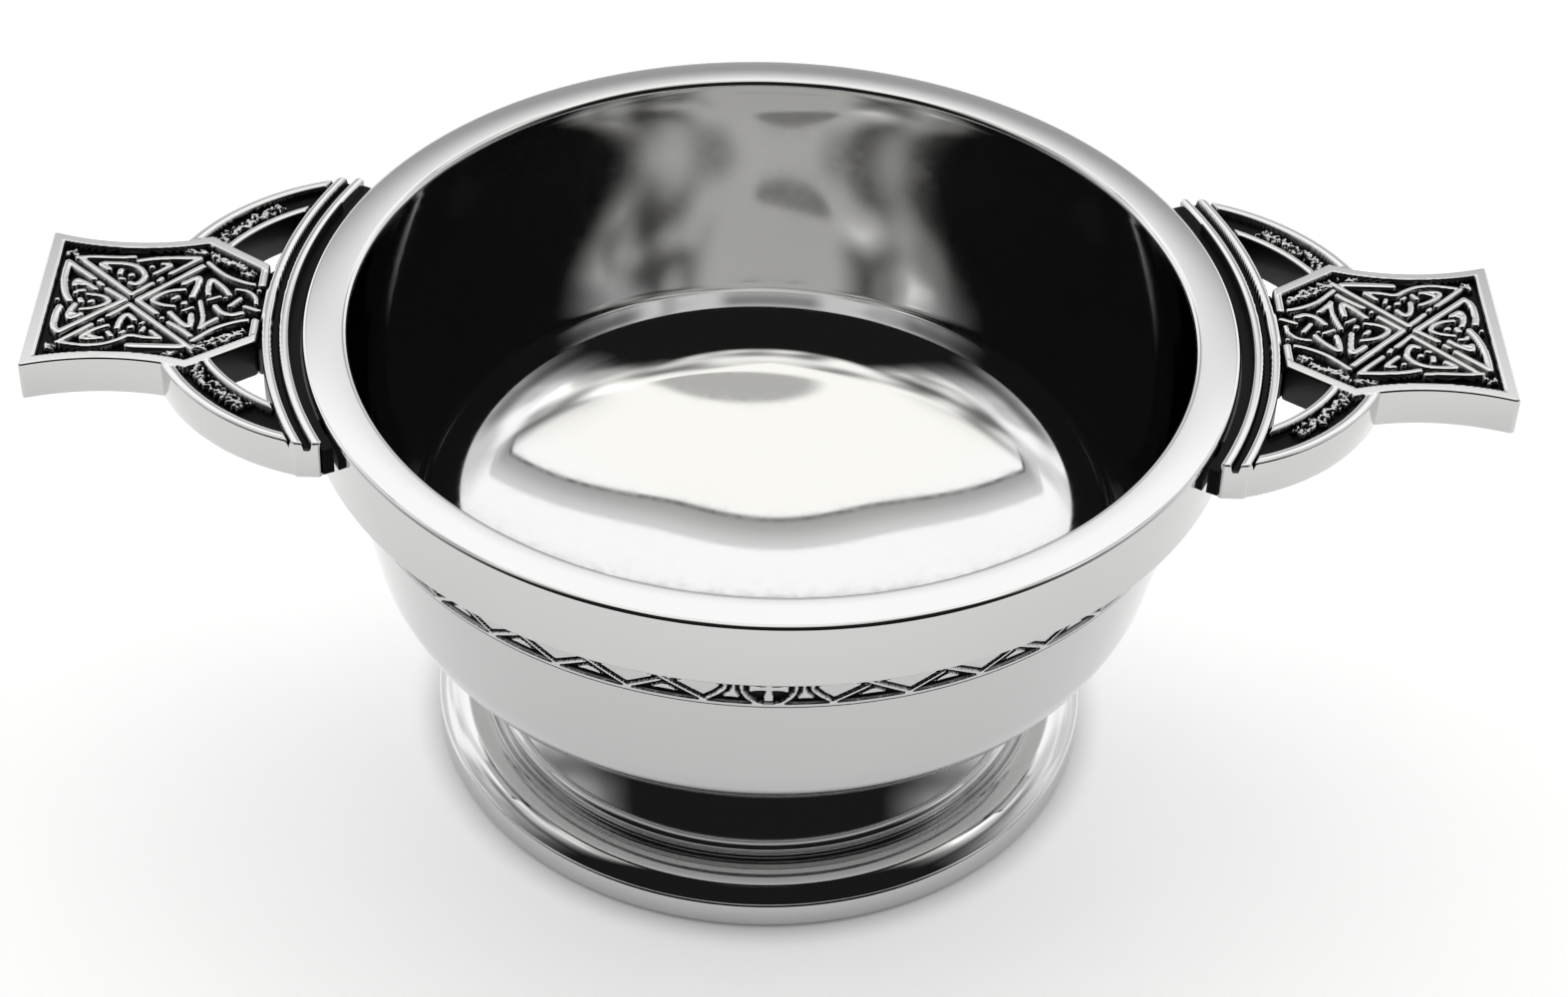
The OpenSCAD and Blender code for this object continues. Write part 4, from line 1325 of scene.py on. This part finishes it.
class QUAICH_OT_foot(bpy.types.Operator):
    """Turn the hollow foot"""
    bl_idname = "quaich.foot"
    bl_label = "Foot"

    def execute(self, context):
        scene = context.scene
        section = foot_section(scene.quaich_foot, scene.quaich_bowl)
        pewter = finish("buffed_pewter", buffed_pewter, scene.quaich_colours)
        foot = turned_piece("foot_turned", section, scene.quaich_bowl.segments, pewter)
        settle(foot, "polished_pewter", "foot")
        return {"FINISHED"}


class QUAICH_OT_lugs(bpy.types.Operator):
    """Model the two cast lugs with their knotwork"""
    bl_idname = "quaich.lugs"
    bl_label = "Lugs"

    def execute(self, context):
        scene = context.scene
        relief = LugRelief(scene.quaich_lugs, mm(scene.quaich_bowl.rim_height))
        black = finish("patinated_pewter", patinated_pewter, scene.quaich_colours)
        right = relief.surface("right_lug_cast")
        left = right.copy()
        left.name = "left_lug_cast"
        left.transform(Matrix.Diagonal((-1, -1, 1, 1)))
        for mesh, node in ((right, "right_lug"), (left, "left_lug")):
            mesh.materials.append(black)
            shade(mesh, LUG_SHARP)
            settle(new_piece(mesh.name, mesh), "blackened_pewter", node)
        return {"FINISHED"}


class QUAICH_OT_solder(bpy.types.Operator):
    """Give the four solder seams their dull finish"""
    bl_idname = "quaich.solder"
    bl_label = "Solder seams"

    def execute(self, context):
        dull = finish("dull_solder", dull_solder, context.scene.quaich_colours)
        for node in ("collar_solder", "foot_solder", "left_lug_solder", "right_lug_solder"):
            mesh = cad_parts[node].data
            mesh.materials.clear()
            mesh.materials.append(dull)
        return {"FINISHED"}


class QUAICH_OT_stage(bpy.types.Operator):
    """Set the white table, the room's light and the camera"""
    bl_idname = "quaich.stage"
    bl_label = "Stage"

    camera_at = (-5.546, -264.752, 248.364)
    camera_aim = (1.530, -9.601, 35.0)
    camera_roll = 2.367
    focal_pixels = 3446.0
    photo_width = 1573.0
    sensor = 36.0

    def execute(self, context):
        scene = context.scene
        self.table(scene)
        self.room(scene)
        self.camera(scene)
        scene.view_settings.view_transform = "Standard"
        return {"FINISHED"}

    def table(self, scene):
        """A wide white table."""
        half = 8.0
        mesh = bpy.data.meshes.new("table")
        mesh.from_pydata([(-half, -half, 0), (half, -half, 0), (half, half, 0), (-half, half, 0)], [],
                         [(0, 1, 2, 3)])
        mesh.materials.append(white_table(scene.quaich_colours))
        new_piece("table", mesh)

    def room(self, scene):
        """A room that is bright behind and above the cup, and dark on the camera's side."""
        world = bpy.data.worlds.new("room")
        world.use_nodes = True
        tree = world.node_tree
        light = tree.nodes["Background"]
        room = Room(tree)
        tree.links.new(room.brightness(), light.inputs["Strength"])
        tree.links.new(room.tint(), light.inputs["Color"])
        scene.world = world

    def camera(self, scene):
        """The photograph's camera."""
        data = bpy.data.cameras.new("camera")
        data.sensor_width = self.sensor
        data.lens = self.focal_pixels / self.photo_width * self.sensor
        data.clip_start = 0.01
        camera = bpy.data.objects.new("camera", data)
        scene.collection.objects.link(camera)
        at, aim = Vector(self.camera_at) * MM, Vector(self.camera_aim) * MM
        roll = Quaternion((0, 0, 1), math.radians(self.camera_roll))
        camera.location = at
        camera.rotation_euler = ((aim - at).to_track_quat("-Z", "Y") @ roll).to_euler()
        scene.camera = camera


class QUAICH_PT_panel(bpy.types.Panel):
    """Lists the steps that build the cup"""
    bl_idname = "QUAICH_PT_panel"
    bl_label = "Quaich"
    bl_space_type = "VIEW_3D"
    bl_region_type = "UI"
    bl_category = "Quaich"

    def draw(self, context):
        for step in STEPS:
            self.layout.operator(step.bl_idname)
        for group in GROUPS:
            sizes = getattr(context.scene, group)
            column = self.layout.column(align=True)
            for name in sizes.__annotations__:
                column.prop(sizes, name)


STEPS = (QUAICH_OT_bowl, QUAICH_OT_band, QUAICH_OT_foot, QUAICH_OT_lugs, QUAICH_OT_solder,
         QUAICH_OT_stage)
GROUPS = {
    "quaich_bowl": QuaichBowlSizes,
    "quaich_foot": QuaichFootSizes,
    "quaich_lugs": QuaichLugSizes,
    "quaich_colours": QuaichColours,
}


def register():
    """Registers the settings, the steps and the panel."""
    for group in GROUPS.values():
        bpy.utils.register_class(group)
    for name, group in GROUPS.items():
        setattr(bpy.types.Scene, name, PointerProperty(type=group))
    for cls in STEPS + (QUAICH_PT_panel,):
        bpy.utils.register_class(cls)


def unregister():
    """Removes what register added."""
    for cls in reversed(STEPS + (QUAICH_PT_panel,)):
        bpy.utils.unregister_class(cls)
    for name in GROUPS:
        delattr(bpy.types.Scene, name)
    for group in reversed(list(GROUPS.values())):
        bpy.utils.unregister_class(group)


def main():
    """Builds the cup on its stage."""
    register()
    bpy.ops.quaich.bowl()
    bpy.ops.quaich.band()
    bpy.ops.quaich.foot()
    bpy.ops.quaich.lugs()
    bpy.ops.quaich.solder()
    bpy.ops.quaich.stage()


if __name__ == "__main__":
    main()
